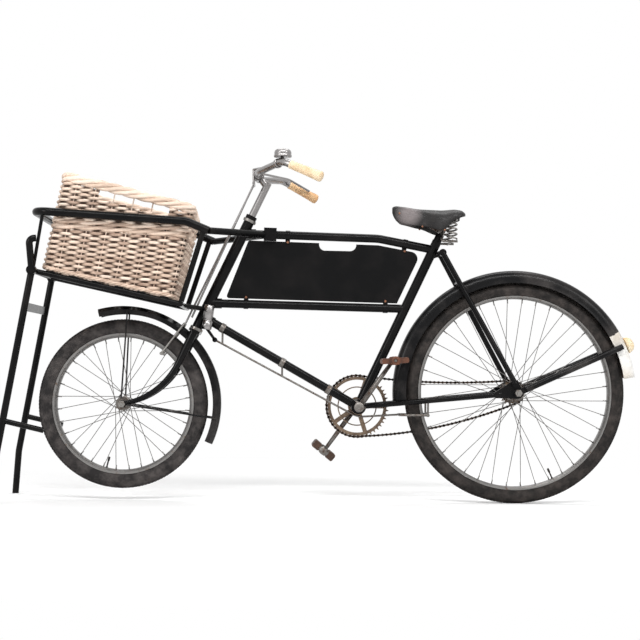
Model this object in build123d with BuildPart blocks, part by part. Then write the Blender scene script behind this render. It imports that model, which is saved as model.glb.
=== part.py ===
from build123d import *
import os
from math import cos, radians, sin, sqrt

os.makedirs("parts", exist_ok=True)

# Delivery bicycle, in mm: +Z up, it faces -X and its left side is -Y.
# "Forward" is a distance ahead of the rear axle, "height" a distance above the ground.

# Clearances
SEAT_GAP = 0.3  # between pieces that are brazed, clamped or bolted together
RUN_GAP = 0.05  # radial clearance of a shaft in its bore

# Wheels
WHEELBASE = 1172.0
REAR_TYRE_R = 332.0
REAR_TYRE_WIDTH = 40.0
REAR_TYRE_DEPTH = 40.0
REAR_RIM_DEPTH = 10.0
REAR_SPOKES = 40
FRONT_TYRE_R = 252.0
FRONT_TYRE_WIDTH = 44.0
FRONT_TYRE_DEPTH = 42.0
FRONT_RIM_DEPTH = 13.0
FRONT_SPOKES = 32
FRONT_LIFT = 34.6  # the stand holds the front tyre this far off the ground
SPOKE_R = 1.0
SPOKE_CROSSINGS = 3
SPOKE_SPREAD = 2.2  # half the step between spokes that cross, at the flange
RIM_HOLE_SIDE = 3.0
RIM_WIDTH_SHARE = 0.8
TYRE_SECTION = [(0.0, 0.72), (0.42, 1.0), (0.82, 0.74), (1.0, 0.22)]  # share of depth, of half width

# Hubs and axles
REAR_FLANGE_R = 26.0
REAR_FLANGE_SIDE = 32.0
REAR_HUB_HALF = 50.0
REAR_AXLE_R = 4.75
REAR_AXLE_HALF = 86.0
FRONT_FLANGE_R = 21.0
FRONT_FLANGE_SIDE = 28.0
FRONT_HUB_HALF = 40.0
FRONT_AXLE_R = 4.0
FRONT_AXLE_HALF = 70.0
FLANGE_THICKNESS = 4.0
HUB_NECK_R = 12.0
LOCKNUT_R = 8.0
AXLE_NUT_R = 9.0
AXLE_NUT_LENGTH = 9.0

# Frame
BB_FORWARD = 471.0
BB_HEIGHT = 285.0
BB_SHELL_R = 22.0
BB_SHELL_HALF = 34.0
BB_BORE_R = 17.0
BB_CUP_WIDTH = 6.0
CRANK_AXLE_R = 8.5
HEAD_LEAN = 25.35  # degrees from vertical, top towards the rear
HEAD_LOW_FORWARD = 956.6
HEAD_LOW_HEIGHT = 516.0
HEAD_LENGTH = 353.0
HEAD_TUBE_R = 16.0
HEAD_BORE_R = 14.0
HEADSET_R = 20.0
HEADSET_HEIGHT = 8.0
STEERER_R = 12.7
TUBE_R = 12.7  # main tubes
SEAT_TUBE_R = 14.3
SEAT_BORE_R = 12.8
SEAT_TOP_FORWARD = 237.0
SEAT_TOP_HEIGHT = 786.0
SEAT_LUG_WEB_R = 6.5
LUG_WALL = 2.2
LUG_REACH = 38.0  # from the axis of the carrying tube to the lug's mouth
TOP_TUBE_HEIGHT = 800.0  # at the head tube
TOP_TUBE_BEND_FORWARD = 415.0
TOP_TUBE_BEND_HEIGHT = 791.0
TOP_TUBE_BEND_R = 160.0
TOP_TUBE_END_HEIGHT = 760.0  # at the seat tube
PANEL_TUBE_FRONT_HEIGHT = 590.0
PANEL_TUBE_REAR_HEIGHT = 580.5
DOWN_TUBE_HEIGHT = 549.6  # at the head tube
STAY_R = 8.0
CHAIN_STAY_SIDE = 22.0  # at the bottom bracket
DROPOUT_SIDE = 58.0  # inner face
DROPOUT_THICKNESS = 5.0
SEAT_STAY_TOP_FORWARD = 224.0
SEAT_STAY_TOP_HEIGHT = 749.0
SEAT_STAY_TOP_SIDE = 35.0
SEAT_STAY_LOW_FORWARD = 8.0
SEAT_STAY_LOW_HEIGHT = 359.0
BRIDGE_R = 5.0

# Saddle
SEAT_POST_RISE = 22.0
SADDLE_REAR_FORWARD = 168.0
SADDLE_LENGTH = 207.0
SADDLE_NOSE_HEIGHT = 892.0
SADDLE_DIP_HEIGHT = 877.0
SADDLE_REAR_HEIGHT = 870.0
SADDLE_FLAP_HEIGHT = 812.0
SADDLE_WIDTH = 186.0
SADDLE_NOSE_R = 22.0
LEATHER = 5.0
SPRING_R = 17.0
SPRING_TURNS = 5
SPRING_WIRE_R = 2.6
SPRING_INSET = 30.0  # from the saddle's rear edge
SPRING_SIDE = 48.0
SPRING_LOW = 786.0
SPRING_HIGH = 864.4
SADDLE_CLAMP_R = 9.0
SADDLE_CLAMP_HALF = 30.0
SADDLE_WIRE_R = 3.5

# Sign panel
PANEL_THICKNESS = 2.0
PANEL_TUBE_GAP = 7.0
PANEL_SEAT_GAP = 14.0
PANEL_LOW_CUT = 4.0
PANEL_TOP_FORWARD = 806.0
PANEL_TOP_REAR_HEIGHT = 748.0
PANEL_LOW_FORWARD = 872.0
CLIP_WIDTH = 14.0
CLIP_WALL = 1.6
PANEL_CORNER_R = 22.0
NOTCH_FORWARD = 537.5
NOTCH_BOTTOM = 82.0
NOTCH_DEPTH = 30.0

# Carrier, basket and stand
TRAY_TILT = 12.0  # degrees, nose up
TRAY_REAR_FORWARD = 997.0
TRAY_REAR_HEIGHT = 580.0
TRAY_LENGTH = 434.0
TRAY_HALF = 150.0
TRAY_TUBE_R = 8.0
SLATS = 6
SLAT_WIDTH = 26.0
SLAT_THICKNESS = 4.0
RAIL_R = 12.0
RAIL_HALF = 182.0
RAIL_FRONT_FORWARD = 1418.0
RAIL_FRONT_HEIGHT = 841.0
RAIL_REAR_FORWARD = 982.0
RAIL_REAR_HEIGHT = 817.0
RAIL_END_FORWARD = 918.0
RAIL_END_HEIGHT = 791.0
RAIL_CORNER_R = 45.0
ARM_R = 10.0
CLAMP_FORWARD = 741.0
CLAMP_LENGTH = 38.0
CLAMP_WALL = 3.0
CLAMP_HALF = 26.0
BRACKET_HEIGHT = 572.0
BRACKET_R = 6.0
BRACKET_SPREAD = 62.0
UPRIGHT_R = 5.0
UPRIGHT_TOP_FORWARD = 1393.0
REAR_UPRIGHT_R = 8.0
BASKET_LENGTH = 394.0
BASKET_WIDTH = 326.0
BASKET_HEIGHT = 262.0
BASKET_WALL = 14.0
BASKET_FLOOR = 12.0
BASKET_FLARE = -0.4  # degrees of draft, wider at the top
BASKET_CORNER_R = 30.0
BASKET_REAR_GAP = 14.0
HANDHOLD_LENGTH = 200.0
HANDHOLD_HEIGHT = 28.0
HANDHOLD_DROP = 30.0
STAND_HALF = 182.0
STAND_TUBE_R = 10.0
STAND_FOOT_FORWARD = 1522.0
STAND_BEND_FORWARD = 1514.0
STAND_BEND_HEIGHT = 131.0
STAND_CREST_HEIGHT = 762.0
STAND_STUD_R = 5.0
STAND_EYE_R = 14.0
STAND_EYE_HALF = 13.0
STAND_BEND_R = 120.0
HOOK_LENGTH = 20.0
HOOK_BEND_R = 14.0
RUNG_DROP = 106.0  # below the pivot, along the leg
RUNG_WIDTH = 25.0
RUNG_THICKNESS = 4.0
PRONG_R = 8.0
PRONG_HEIGHT = 239.0
PRONG_LENGTH = 119.0
PRONG_DROP = 13.0  # degrees

# Steering
CROWN_HEIGHT = 8.0
CROWN_WIDTH = 34.0
GUARD_BOSS_R = 7.0  # under the crown, bolts the front mudguard
GUARD_BOSS_LENGTH = 12.0
BLADE_SIDE = 50.0
BLADE_TOP_R = 13.0
BLADE_LOW_R = 10.0
BLADE_TIP_R = 7.0
BLADE_STRAIGHT = 100.0
BLADE_EYE_R = 11.0
STEM_R = 11.0
STEM_ROOT = 290.0
STEM_RISE = 6.2
STEM_TOP = 485.0  # along the head axis, from the lower end of the head tube
STEM_REACH = 34.4
STEM_BAR_R = 16.0
STEM_CLAMP_HALF = 20.0
LOCK_NUT_R = 17.0
LOCK_NUT_HEIGHT = 12.0
BAR_R = 10.5
BAR_FLAT_HALF = 90.0
BAR_BEND_BACK = 71.0
BAR_BEND_SIDE = 218.0
BAR_BEND_RISE = 15.0
BAR_END_BACK = 177.0
BAR_END_SIDE = 270.0
BAR_END_DROP = 34.0
BAR_BEND_R = 80.0
BAR_GRIP_BEND_R = 44.0
BAND_WIDTH = 10.0
BAND_WALL = 3.0
GRIP_LENGTH = 108.0
GRIP_R = 12.0
GRIP_END_R = 15.5
GRIP_CAP = 6.0
BELL_R = 26.0
BELL_HEIGHT = 26.0
BELL_BAND_SHARE = 0.8
BELL_BACK = 14.0
BELL_RISE = 18.0
BELL_POST_R = 5.0

# Mudguards
REAR_GUARD_R = 368.0
REAR_GUARD_HALF = 31.0
REAR_GUARD_DEPTH = 27.0
REAR_GUARD_START = 8.0  # degrees from the rear axle's horizontal, tail end
REAR_GUARD_ARC = 181.0
FRONT_GUARD_R = 291.0
FRONT_GUARD_HALF = 29.0
FRONT_GUARD_DEPTH = 24.0
FRONT_GUARD_START = -24.0
FRONT_GUARD_ARC = 130.0
GUARD_THICKNESS = 1.5
GUARD_SHOULDER = 0.45  # share of the depth
GUARD_CROWN = 0.5  # share of the half width
GUARD_STAY_R = 9.0
GUARD_STAY_RISE = 24.0  # degrees
GUARD_STAY_ROOT = 26.0
GUARD_STAY_EYE_R = 13.0
REFLECTOR_RISE = 23.3  # degrees
REFLECTOR_R = 25.0
REFLECTOR_DEPTH = 24.0
TAIL_REACH = 368.0
WIRE_STAY_R = 2.5
WIRE_STAY_ROOT = 16.0
WIRE_STAY_ANGLES = [(-8.5, -8.5), (95.0, 88.0)]  # degrees at the axle, at the mudguard

# Drive
CHAIN_LINE = 45.0
CHAIN_PITCH = 12.7
RING_TEETH = 46
SPROCKET_TEETH = 18
RING_THICKNESS = 2.6
CHAIN_GAP = 0.9  # between the ring's faces and the chain's plates
CHAIN_PLATE = 1.2
CHAIN_HALF_HEIGHT = 4.2
CHAIN_PIN_R = 3.0
TOOTH_HEIGHT = 7.0
TOOTH_SHARE = 0.6  # of the pitch, at the root
TOOTH_SLOPE = 72.0  # degrees
RING_RIM = 13.0
RING_BOSS_R = 28.0
RING_ARMS = 5
RING_ARM_WIDTH = 13.0
CRANK_LENGTH = 170.0
CRANK_SIDE = 58.0  # inner face
CRANK_THICKNESS = 13.0
CRANK_BOSS_R = 17.0
CRANK_EYE_R = 12.0
CRANK_RISE = 54.5  # degrees, the left crank points up to the rear
PEDAL_SPINDLE_R = 5.0
PEDAL_LENGTH = 78.0
PEDAL_THICKNESS = 27.0
PEDAL_WIDTH = 92.0
PEDAL_GAP = 3.0
PEDAL_TUBE_R = 9.0
PEDAL_PLATE = 3.0
PEDAL_BLOCK = 26.0
PEDAL_TILTS = {"left": -4.0, "right": 39.0}

# Rod brakes
BRAKE_ROD_R = 3.0
FRONT_ROD_AHEAD = 37.0
REAR_ROD_AHEAD = 27.0
ROD_SIDE = 8.0
FRONT_ROD_LOW = -2.0  # along the head axis
REAR_ROD_LOW = 20.0
YOKE_ALONG = 462.0
YOKE_R = 4.5
PAST = 1.5  # how far a rod runs past the axis of the bar that it joins
LEVER_R = 3.5
LEVER_AHEAD = 16.0
LEVER_RISE = 16.0
LEVER_INNER_SIDE = 27.0
LEVER_BACK = 20.0
LEVER_INSIDE = 32.0
LEVER_END_DROP = 14.0
LEVER_BEND_R = 60.0
LEVER_BAND_SIDE = 55.0
STIRRUP_R = 3.5
STIRRUP_HALF = 37.0
STIRRUP_BEND_R = 9.0
SHOE_R = 5.0
SHOE_GAP = 4.0
SHOE_INNER = 11.0
REAR_ROD_BEND_R = 60.0
ROD_CLIPS = [880.0, 700.0, 560.0]  # forward

SIDES = [("left", -1), ("right", 1)]
BASE = (Align.CENTER, Align.CENTER, Align.MIN)

REAR_X = (STAND_FOOT_FORWARD + STAND_TUBE_R - TAIL_REACH) / 2


def at(forward, side, height):
    """The point that far ahead of the rear axle, to the right and above the ground."""
    return Vector(REAR_X - forward, side, height)


def between(start, end, share):
    return start + (end - start) * share


def save(piece, name):
    piece.part.label = name
    export_step(piece.part, f"parts/{name}.step")


def rod(start, end, radius, mode=Mode.ADD):
    """A round bar between two points."""
    run = Vector(end) - Vector(start)
    with Locations(Plane(origin=start, z_dir=run)):
        Cylinder(radius, run.length, align=BASE, mode=mode)


def cone(start, end, start_r, end_r, mode=Mode.ADD):
    run = Vector(end) - Vector(start)
    with Locations(Plane(origin=start, z_dir=run)):
        Cone(start_r, end_r, run.length, align=BASE, mode=mode)


def cross_bar(forward, height, radius, low, high, mode=Mode.ADD):
    """A round bar along Y."""
    rod(at(forward, low, height), at(forward, high, height), radius, mode)


def bent_tube(points, bends, radius):
    """A round tube along straight runs joined by arcs."""
    with BuildLine() as path:
        FilletPolyline(*points, radius=bends)
    start, run = Vector(points[0]), Vector(points[1]) - Vector(points[0])
    with BuildSketch(Plane(origin=start, z_dir=run)) as section:
        Circle(radius)
    sweep(section.sketch, path=path.line)


def side_plane(side):
    """X to the right and Z up, drawn at that distance along Y; it extrudes towards -Y."""
    return Plane(origin=(0, side, 0), x_dir=(1, 0, 0), z_dir=(0, -1, 0))


def turned(profile, centre, start=0.0, arc=360.0):
    """A profile of (radius, side) corners turned about the Y line through a centre."""
    outward = (cos(radians(start)), 0, sin(radians(start)))
    with BuildSketch(Plane(origin=centre, x_dir=outward, z_dir=(-outward[2], 0, outward[0]))) as section:
        with BuildLine():
            Polyline(*profile, close=True)
        make_face()
    revolve(section.sketch, axis=Axis(centre, (0, -1, 0)), revolution_arc=arc)


REAR_AXLE = at(0, 0, REAR_TYRE_R)
FRONT_AXLE = at(WHEELBASE, 0, FRONT_TYRE_R + FRONT_LIFT)
BB = at(BB_FORWARD, 0, BB_HEIGHT)
HEAD_UP = Vector(sin(radians(HEAD_LEAN)), 0, cos(radians(HEAD_LEAN)))
HEAD_BACK = Vector(HEAD_UP.Z, 0, -HEAD_UP.X)
HEAD_LOW = at(HEAD_LOW_FORWARD, 0, HEAD_LOW_HEIGHT)
SEAT_TOP = at(SEAT_TOP_FORWARD, 0, SEAT_TOP_HEIGHT)
SEAT_UP = (SEAT_TOP - BB).normalized()


def on_head(along, back=0.0, side=0.0):
    """A point by its place along the steering axis, behind it and to the right."""
    return HEAD_LOW + HEAD_UP * along + HEAD_BACK * back + Vector(0, side, 0)


def head_at_height(height):
    return HEAD_LOW + HEAD_UP * ((height - HEAD_LOW.Z) / HEAD_UP.Z)


def seat_at_height(height):
    return BB + SEAT_UP * ((height - BB.Z) / SEAT_UP.Z)


# Wheels: name, axle, tyre radius, tyre width, tyre depth, rim depth, spokes,
# flange radius, flange side, axle radius, hub half length
WHEELS = [
    ("rear", REAR_AXLE, REAR_TYRE_R, REAR_TYRE_WIDTH, REAR_TYRE_DEPTH, REAR_RIM_DEPTH, REAR_SPOKES,
     REAR_FLANGE_R, REAR_FLANGE_SIDE, REAR_AXLE_R, REAR_HUB_HALF),
    ("front", FRONT_AXLE, FRONT_TYRE_R, FRONT_TYRE_WIDTH, FRONT_TYRE_DEPTH, FRONT_RIM_DEPTH, FRONT_SPOKES,
     FRONT_FLANGE_R, FRONT_FLANGE_SIDE, FRONT_AXLE_R, FRONT_HUB_HALF),
]
for (name, axle, tyre_r, width, depth, rim_depth, spoke_count,
     flange_r, flange_side, axle_r, hub_half) in WHEELS:
    bead_r = tyre_r - depth
    rim_r = bead_r - rim_depth
    rim_half = RIM_WIDTH_SHARE * width / 2
    half_section = [(bead_r + out * depth, wide * width / 2) for out, wide in TYRE_SECTION]
    with BuildPart() as tyre:
        turned(half_section + [(r, -side) for r, side in reversed(half_section)], axle)
    save(tyre, f"{name}_tyre")

    with BuildPart() as rim:
        turned([
            (rim_r, -rim_half / 2), (rim_r, rim_half / 2),
            (bead_r - rim_depth / 2, rim_half), (bead_r - SEAT_GAP, rim_half),
            (bead_r - SEAT_GAP, -rim_half), (bead_r - rim_depth / 2, -rim_half),
        ], axle)
    save(rim, f"{name}_rim")

    bore_r = axle_r + RUN_GAP
    flange_in = flange_side - FLANGE_THICKNESS / 2
    flange_out = flange_side + FLANGE_THICKNESS / 2
    barrel_r = flange_r / 2
    half_hub = [
        (bore_r, hub_half), (min(HUB_NECK_R, barrel_r), hub_half), (min(HUB_NECK_R, barrel_r), flange_out),
        (flange_r, flange_out), (flange_r, flange_in), (barrel_r, flange_in - FLANGE_THICKNESS),
    ]
    with BuildPart() as hub:
        turned(half_hub + [(r, -side) for r, side in reversed(half_hub)], axle)
    save(hub, f"{name}_hub")

    # Each flange holds half of the spokes, leading and trailing by turns.
    step = 720.0 / spoke_count
    hub_r = flange_r + SPOKE_R + SEAT_GAP
    with BuildPart() as spokes:
        for _, side in SIDES:
            for index in range(spoke_count // 2):
                lead = 1 if index % 2 else -1
                hub_angle = radians(step * index + side * step / 4)
                rim_angle = hub_angle + radians(lead * SPOKE_CROSSINGS * step)
                root = Vector(hub_r * cos(hub_angle), side * flange_side + lead * SPOKE_SPREAD,
                              hub_r * sin(hub_angle))
                reach = rim_r - SEAT_GAP
                tip = Vector(reach * cos(rim_angle), side * RIM_HOLE_SIDE, reach * sin(rim_angle))
                rod(axle + root, axle + tip, SPOKE_R)
    save(spokes, f"{name}_spokes")

# Rear axle with its locknuts inside the dropouts and its nuts outside
STAY_EYE_OUT = DROPOUT_SIDE + DROPOUT_THICKNESS + SEAT_GAP + 4.0
with BuildPart() as rear_axle:
    cross_bar(0, REAR_AXLE.Z, REAR_AXLE_R, -REAR_AXLE_HALF, REAR_AXLE_HALF)
    for _, side in SIDES:
        for inner, outer, radius in [
            (REAR_HUB_HALF + SEAT_GAP, DROPOUT_SIDE, LOCKNUT_R),
            (STAY_EYE_OUT + SEAT_GAP, STAY_EYE_OUT + SEAT_GAP + AXLE_NUT_LENGTH, AXLE_NUT_R),
        ]:
            cross_bar(0, REAR_AXLE.Z, radius, side * inner, side * outer)
save(rear_axle, "rear_axle")

# Head tube with the three lug sockets
with BuildPart() as head_tube:
    rod(on_head(0), on_head(HEAD_LENGTH), HEAD_TUBE_R)
    down_root = head_at_height(DOWN_TUBE_HEIGHT)
    top_root = head_at_height(TOP_TUBE_HEIGHT)
    panel_root = head_at_height(PANEL_TUBE_FRONT_HEIGHT)
    top_bend = at(TOP_TUBE_BEND_FORWARD, 0, TOP_TUBE_BEND_HEIGHT)
    panel_end = seat_at_height(PANEL_TUBE_REAR_HEIGHT)
    sockets = [(top_root, top_bend), (panel_root, panel_end), (down_root, BB)]  # root, aim
    for root, aim in sockets:
        rod(root, root + (aim - root).normalized() * LUG_REACH, TUBE_R + SEAT_GAP + LUG_WALL)
    for root, aim in sockets:
        run = (aim - root).normalized()
        rod(root + run * HEAD_TUBE_R, root + run * (LUG_REACH + 1), TUBE_R + SEAT_GAP, Mode.SUBTRACT)
    rod(on_head(-1), on_head(HEAD_LENGTH + 1), HEAD_BORE_R, Mode.SUBTRACT)
save(head_tube, "head_tube")

with BuildPart() as headset_cups:
    for low in (-HEADSET_HEIGHT, HEAD_LENGTH):
        rod(on_head(low), on_head(low + HEADSET_HEIGHT), HEADSET_R)
    rod(on_head(-HEADSET_HEIGHT - 1), on_head(HEAD_LENGTH + HEADSET_HEIGHT + 1),
        STEERER_R + RUN_GAP, Mode.SUBTRACT)
save(headset_cups, "headset_cups")

# Main tubes, coped to the tubes that they meet
def tube_start(root, aim):
    """Where a main tube starts inside its head lug."""
    return root + (aim - root).normalized() * (HEAD_TUBE_R + SEAT_GAP)


seat_joint = seat_at_height(TOP_TUBE_END_HEIGHT)
with BuildPart() as top_tube:
    bent_tube([tube_start(top_root, top_bend), top_bend, seat_joint], TOP_TUBE_BEND_R, TUBE_R)
    rod(BB, SEAT_TOP + SEAT_UP * 40, SEAT_TUBE_R + SEAT_GAP, Mode.SUBTRACT)
    rod(on_head(0), on_head(HEAD_LENGTH), HEAD_TUBE_R + SEAT_GAP, Mode.SUBTRACT)
save(top_tube, "top_tube")

with BuildPart() as panel_tube:
    rod(tube_start(panel_root, panel_end), panel_end, TUBE_R)
    rod(BB, SEAT_TOP, SEAT_TUBE_R + SEAT_GAP, Mode.SUBTRACT)
    rod(on_head(0), on_head(HEAD_LENGTH), HEAD_TUBE_R + SEAT_GAP, Mode.SUBTRACT)
save(panel_tube, "panel_tube")

with BuildPart() as down_tube:
    rod(tube_start(down_root, BB), BB, TUBE_R)
    cross_bar(BB_FORWARD, BB_HEIGHT, BB_SHELL_R + SEAT_GAP, -BB_SHELL_HALF, BB_SHELL_HALF, Mode.SUBTRACT)
    rod(on_head(0), on_head(HEAD_LENGTH), HEAD_TUBE_R + SEAT_GAP, Mode.SUBTRACT)
save(down_tube, "down_tube")

# Seat tube with its lug: ears for the seat stays' bolts
seat_ear = at(SEAT_STAY_TOP_FORWARD, 0, SEAT_STAY_TOP_HEIGHT)
ear_half = SEAT_STAY_TOP_SIDE - STAY_R / 2 - SEAT_GAP
with BuildPart() as seat_tube:
    rod(BB + SEAT_UP * (BB_SHELL_R + SEAT_GAP), SEAT_TOP, SEAT_TUBE_R)
    rod(seat_ear - Vector(0, ear_half, 0), seat_ear + Vector(0, ear_half, 0), STAY_R)
    rod(seat_at_height(SEAT_STAY_TOP_HEIGHT - SEAT_TUBE_R), seat_ear, SEAT_LUG_WEB_R)
    rod(BB, SEAT_TOP + SEAT_UP, SEAT_BORE_R, Mode.SUBTRACT)
    cross_bar(BB_FORWARD, BB_HEIGHT, BB_SHELL_R + SEAT_GAP, -BB_SHELL_HALF, BB_SHELL_HALF, Mode.SUBTRACT)
save(seat_tube, "seat_tube")

# Bottom bracket shell with its bearing cups
with BuildPart() as bottom_bracket:
    cup_in = BB_SHELL_HALF - BB_CUP_WIDTH
    turned([
        (CRANK_AXLE_R + RUN_GAP, -BB_SHELL_HALF), (BB_SHELL_R, -BB_SHELL_HALF),
        (BB_SHELL_R, BB_SHELL_HALF), (CRANK_AXLE_R + RUN_GAP, BB_SHELL_HALF),
        (CRANK_AXLE_R + RUN_GAP, cup_in), (BB_BORE_R, cup_in),
        (BB_BORE_R, -cup_in), (CRANK_AXLE_R + RUN_GAP, -cup_in),
    ], BB)
save(bottom_bracket, "bottom_bracket")

# Stays, one pair on each side
dropout_mid = DROPOUT_SIDE + DROPOUT_THICKNESS / 2
stay_low_side = DROPOUT_SIDE + DROPOUT_THICKNESS + SEAT_GAP + STAY_R + 1.0
seat_bolt = at(SEAT_STAY_LOW_FORWARD, 0, SEAT_STAY_LOW_HEIGHT)
DROPOUT_R = 17.0
STAY_EYE_R = 11.0
with BuildPart() as chain_stays:
    for _, side in SIDES:
        root = BB + Vector(0, side * CHAIN_STAY_SIDE, 0)
        tip = REAR_AXLE + Vector(0, side * dropout_mid, 0)
        toe = between(tip, root, 0.13)
        with BuildSketch(side_plane(side * dropout_mid)) as dropout:
            with Locations((REAR_AXLE.X, REAR_AXLE.Z)):
                Circle(DROPOUT_R)
            with Locations((seat_bolt.X, seat_bolt.Z)):
                Circle(STAY_EYE_R)
            with Locations((toe.X, toe.Z)):
                Circle(STAY_R + 2)
            make_hull()
        extrude(dropout.sketch, amount=DROPOUT_THICKNESS / 2, both=True)
        rod(root, between(tip, root, 0.1), STAY_R)
    cross_bar(BB_FORWARD, BB_HEIGHT, BB_SHELL_R + SEAT_GAP, -BB_SHELL_HALF - 20, BB_SHELL_HALF + 20,
              Mode.SUBTRACT)
    cross_bar(0, REAR_AXLE.Z, REAR_AXLE_R + SEAT_GAP, -REAR_AXLE_HALF, REAR_AXLE_HALF, Mode.SUBTRACT)
save(chain_stays, "chain_stays")

with BuildPart() as seat_stays:
    for _, side in SIDES:
        top = seat_ear + Vector(0, side * (SEAT_STAY_TOP_SIDE + STAY_R / 2), 0)
        low = seat_bolt + Vector(0, side * stay_low_side, 0)
        rod(top, low, STAY_R)
        cross_bar(SEAT_STAY_TOP_FORWARD, SEAT_STAY_TOP_HEIGHT, STAY_EYE_R,
                  side * (ear_half + SEAT_GAP), side * (SEAT_STAY_TOP_SIDE + STAY_R))
        cross_bar(SEAT_STAY_LOW_FORWARD, SEAT_STAY_LOW_HEIGHT, STAY_EYE_R,
                  side * (stay_low_side - STAY_R), side * (stay_low_side + STAY_R / 2))
save(seat_stays, "seat_stays")

# Seat post and saddle
post_top = SEAT_TOP + SEAT_UP * SEAT_POST_RISE
with BuildPart() as seat_post:
    rod(SEAT_TOP - SEAT_UP * 90, post_top, SEAT_BORE_R - SEAT_GAP)
save(seat_post, "seat_post")

saddle_rear = REAR_X - SADDLE_REAR_FORWARD
saddle_nose = saddle_rear - SADDLE_LENGTH


def saddle_plan(inset):
    """The saddle's outline from above: two wide haunches and a round nose."""
    haunch_r = SADDLE_WIDTH / 4
    with Locations((saddle_nose + SADDLE_NOSE_R, 0)):
        Circle(SADDLE_NOSE_R - inset)
    with Locations((saddle_rear - haunch_r, SADDLE_WIDTH / 2 - haunch_r),
                   (saddle_rear - haunch_r, haunch_r - SADDLE_WIDTH / 2)):
        Circle(haunch_r - inset)
    make_hull()


def saddle_profile(drop, floor):
    """The saddle from the side, its top lowered by drop, down to floor."""
    middle = (saddle_nose + saddle_rear) / 2
    with BuildLine() as outline:
        ThreePointArc((saddle_nose, SADDLE_NOSE_HEIGHT - drop), (middle, SADDLE_DIP_HEIGHT - drop),
                      (saddle_rear, SADDLE_REAR_HEIGHT - drop))
        Polyline((saddle_rear, SADDLE_REAR_HEIGHT - drop), (saddle_rear, floor + 20), (middle, floor),
                 (saddle_nose, SADDLE_NOSE_HEIGHT - 34), (saddle_nose, SADDLE_NOSE_HEIGHT - drop))
    make_face(outline.line)


with BuildPart() as saddle_inside:
    with BuildSketch(Plane.XY.offset(SADDLE_FLAP_HEIGHT - 10)):
        saddle_plan(LEATHER)
    extrude(amount=SADDLE_NOSE_HEIGHT - SADDLE_FLAP_HEIGHT + 20)
    with BuildSketch(side_plane(0)):
        saddle_profile(LEATHER, SADDLE_FLAP_HEIGHT - 10)
    extrude(amount=SADDLE_WIDTH, both=True, mode=Mode.INTERSECT)
with BuildPart() as saddle_leather:
    with BuildSketch(Plane.XY.offset(SADDLE_FLAP_HEIGHT - 10)):
        saddle_plan(0)
    extrude(amount=SADDLE_NOSE_HEIGHT - SADDLE_FLAP_HEIGHT + 20)
    with BuildSketch(side_plane(0)):
        saddle_profile(0, SADDLE_FLAP_HEIGHT)
    extrude(amount=SADDLE_WIDTH, both=True, mode=Mode.INTERSECT)
    add(saddle_inside.part, mode=Mode.SUBTRACT)
save(saddle_leather, "saddle_leather")

# Saddle frame: clamp on the post, wires to the nose and coil springs at the rear
saddle_clamp = post_top + SEAT_UP * (SADDLE_CLAMP_R + SEAT_GAP)
spring_x = saddle_rear - SPRING_INSET
with BuildPart() as saddle_frame:
    rod(saddle_clamp - Vector(0, SADDLE_CLAMP_HALF, 0), saddle_clamp + Vector(0, SADDLE_CLAMP_HALF, 0),
        SADDLE_CLAMP_R)
    for _, side in SIDES:
        clamp_end = saddle_clamp + Vector(0, side * (SADDLE_CLAMP_HALF - SADDLE_WIRE_R), 0)
        nose = Vector(saddle_nose + SADDLE_NOSE_R + LEATHER, side * SADDLE_WIRE_R * 2,
                      SADDLE_NOSE_HEIGHT - LEATHER * 2 - SADDLE_WIRE_R)
        spring_foot = Vector(spring_x, side * SPRING_SIDE, SPRING_LOW - SADDLE_WIRE_R)
        rod(clamp_end, nose, SADDLE_WIRE_R)
        bent_tube([clamp_end, spring_foot - Vector(SPRING_R + SADDLE_WIRE_R * 4, 0, 0),
                   spring_foot + Vector(SPRING_R, 0, 0)], SADDLE_WIRE_R * 2, SADDLE_WIRE_R)
    rod(Vector(spring_x, -SPRING_SIDE - SPRING_R, SPRING_LOW - SADDLE_WIRE_R),
        Vector(spring_x, SPRING_SIDE + SPRING_R, SPRING_LOW - SADDLE_WIRE_R), SADDLE_WIRE_R)
save(saddle_frame, "saddle_frame")

spring_pitch = (SPRING_HIGH - SPRING_LOW) / SPRING_TURNS
with BuildPart() as saddle_springs:
    for _, side in SIDES:
        for turn in range(SPRING_TURNS):
            low = Vector(spring_x, side * SPRING_SIDE, SPRING_LOW + SEAT_GAP + turn * spring_pitch)
            crest = low + Vector(0, 0, spring_pitch / 2)
            cone(low, crest, SPRING_R - SPRING_WIRE_R, SPRING_R)
            cone(crest, low + Vector(0, 0, spring_pitch), SPRING_R, SPRING_R - SPRING_WIRE_R)
save(saddle_springs, "saddle_springs")

# Sign panel between the tubes, and the clips that hold it
panel_drop = TUBE_R + PANEL_TUBE_GAP
seat_front = (SEAT_TUBE_R + PANEL_SEAT_GAP) / SEAT_UP.Z
corner_x = seat_at_height(PANEL_TOP_REAR_HEIGHT).X - seat_front
panel_low_rear = panel_end.Z + panel_drop - PANEL_LOW_CUT
panel_low_front = panel_root.Z + panel_drop - PANEL_LOW_CUT
with BuildPart() as sign_panel:
    with BuildSketch(side_plane(0)):
        with BuildLine():
            Polyline(
                (REAR_X - PANEL_TOP_FORWARD, top_root.Z - panel_drop),
                (top_bend.X, top_bend.Z - panel_drop),
                (corner_x, PANEL_TOP_REAR_HEIGHT),
                (seat_at_height(panel_low_rear).X - seat_front, panel_low_rear),
                (REAR_X - PANEL_LOW_FORWARD, panel_low_front),
                close=True,
            )
        make_face()
        corners = vertices().sort_by(Axis.X)
        fillet(corners[-1], PANEL_CORNER_R)
        fillet(vertices().sort_by(Axis.X)[0:2], PANEL_CORNER_R / 3)
        with Locations((REAR_X - NOTCH_FORWARD, top_bend.Z - panel_drop)):
            SlotOverall(NOTCH_BOTTOM + NOTCH_DEPTH, 2 * NOTCH_DEPTH, mode=Mode.SUBTRACT)
    extrude(amount=PANEL_THICKNESS / 2, both=True)
save(sign_panel, "sign_panel")


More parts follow.
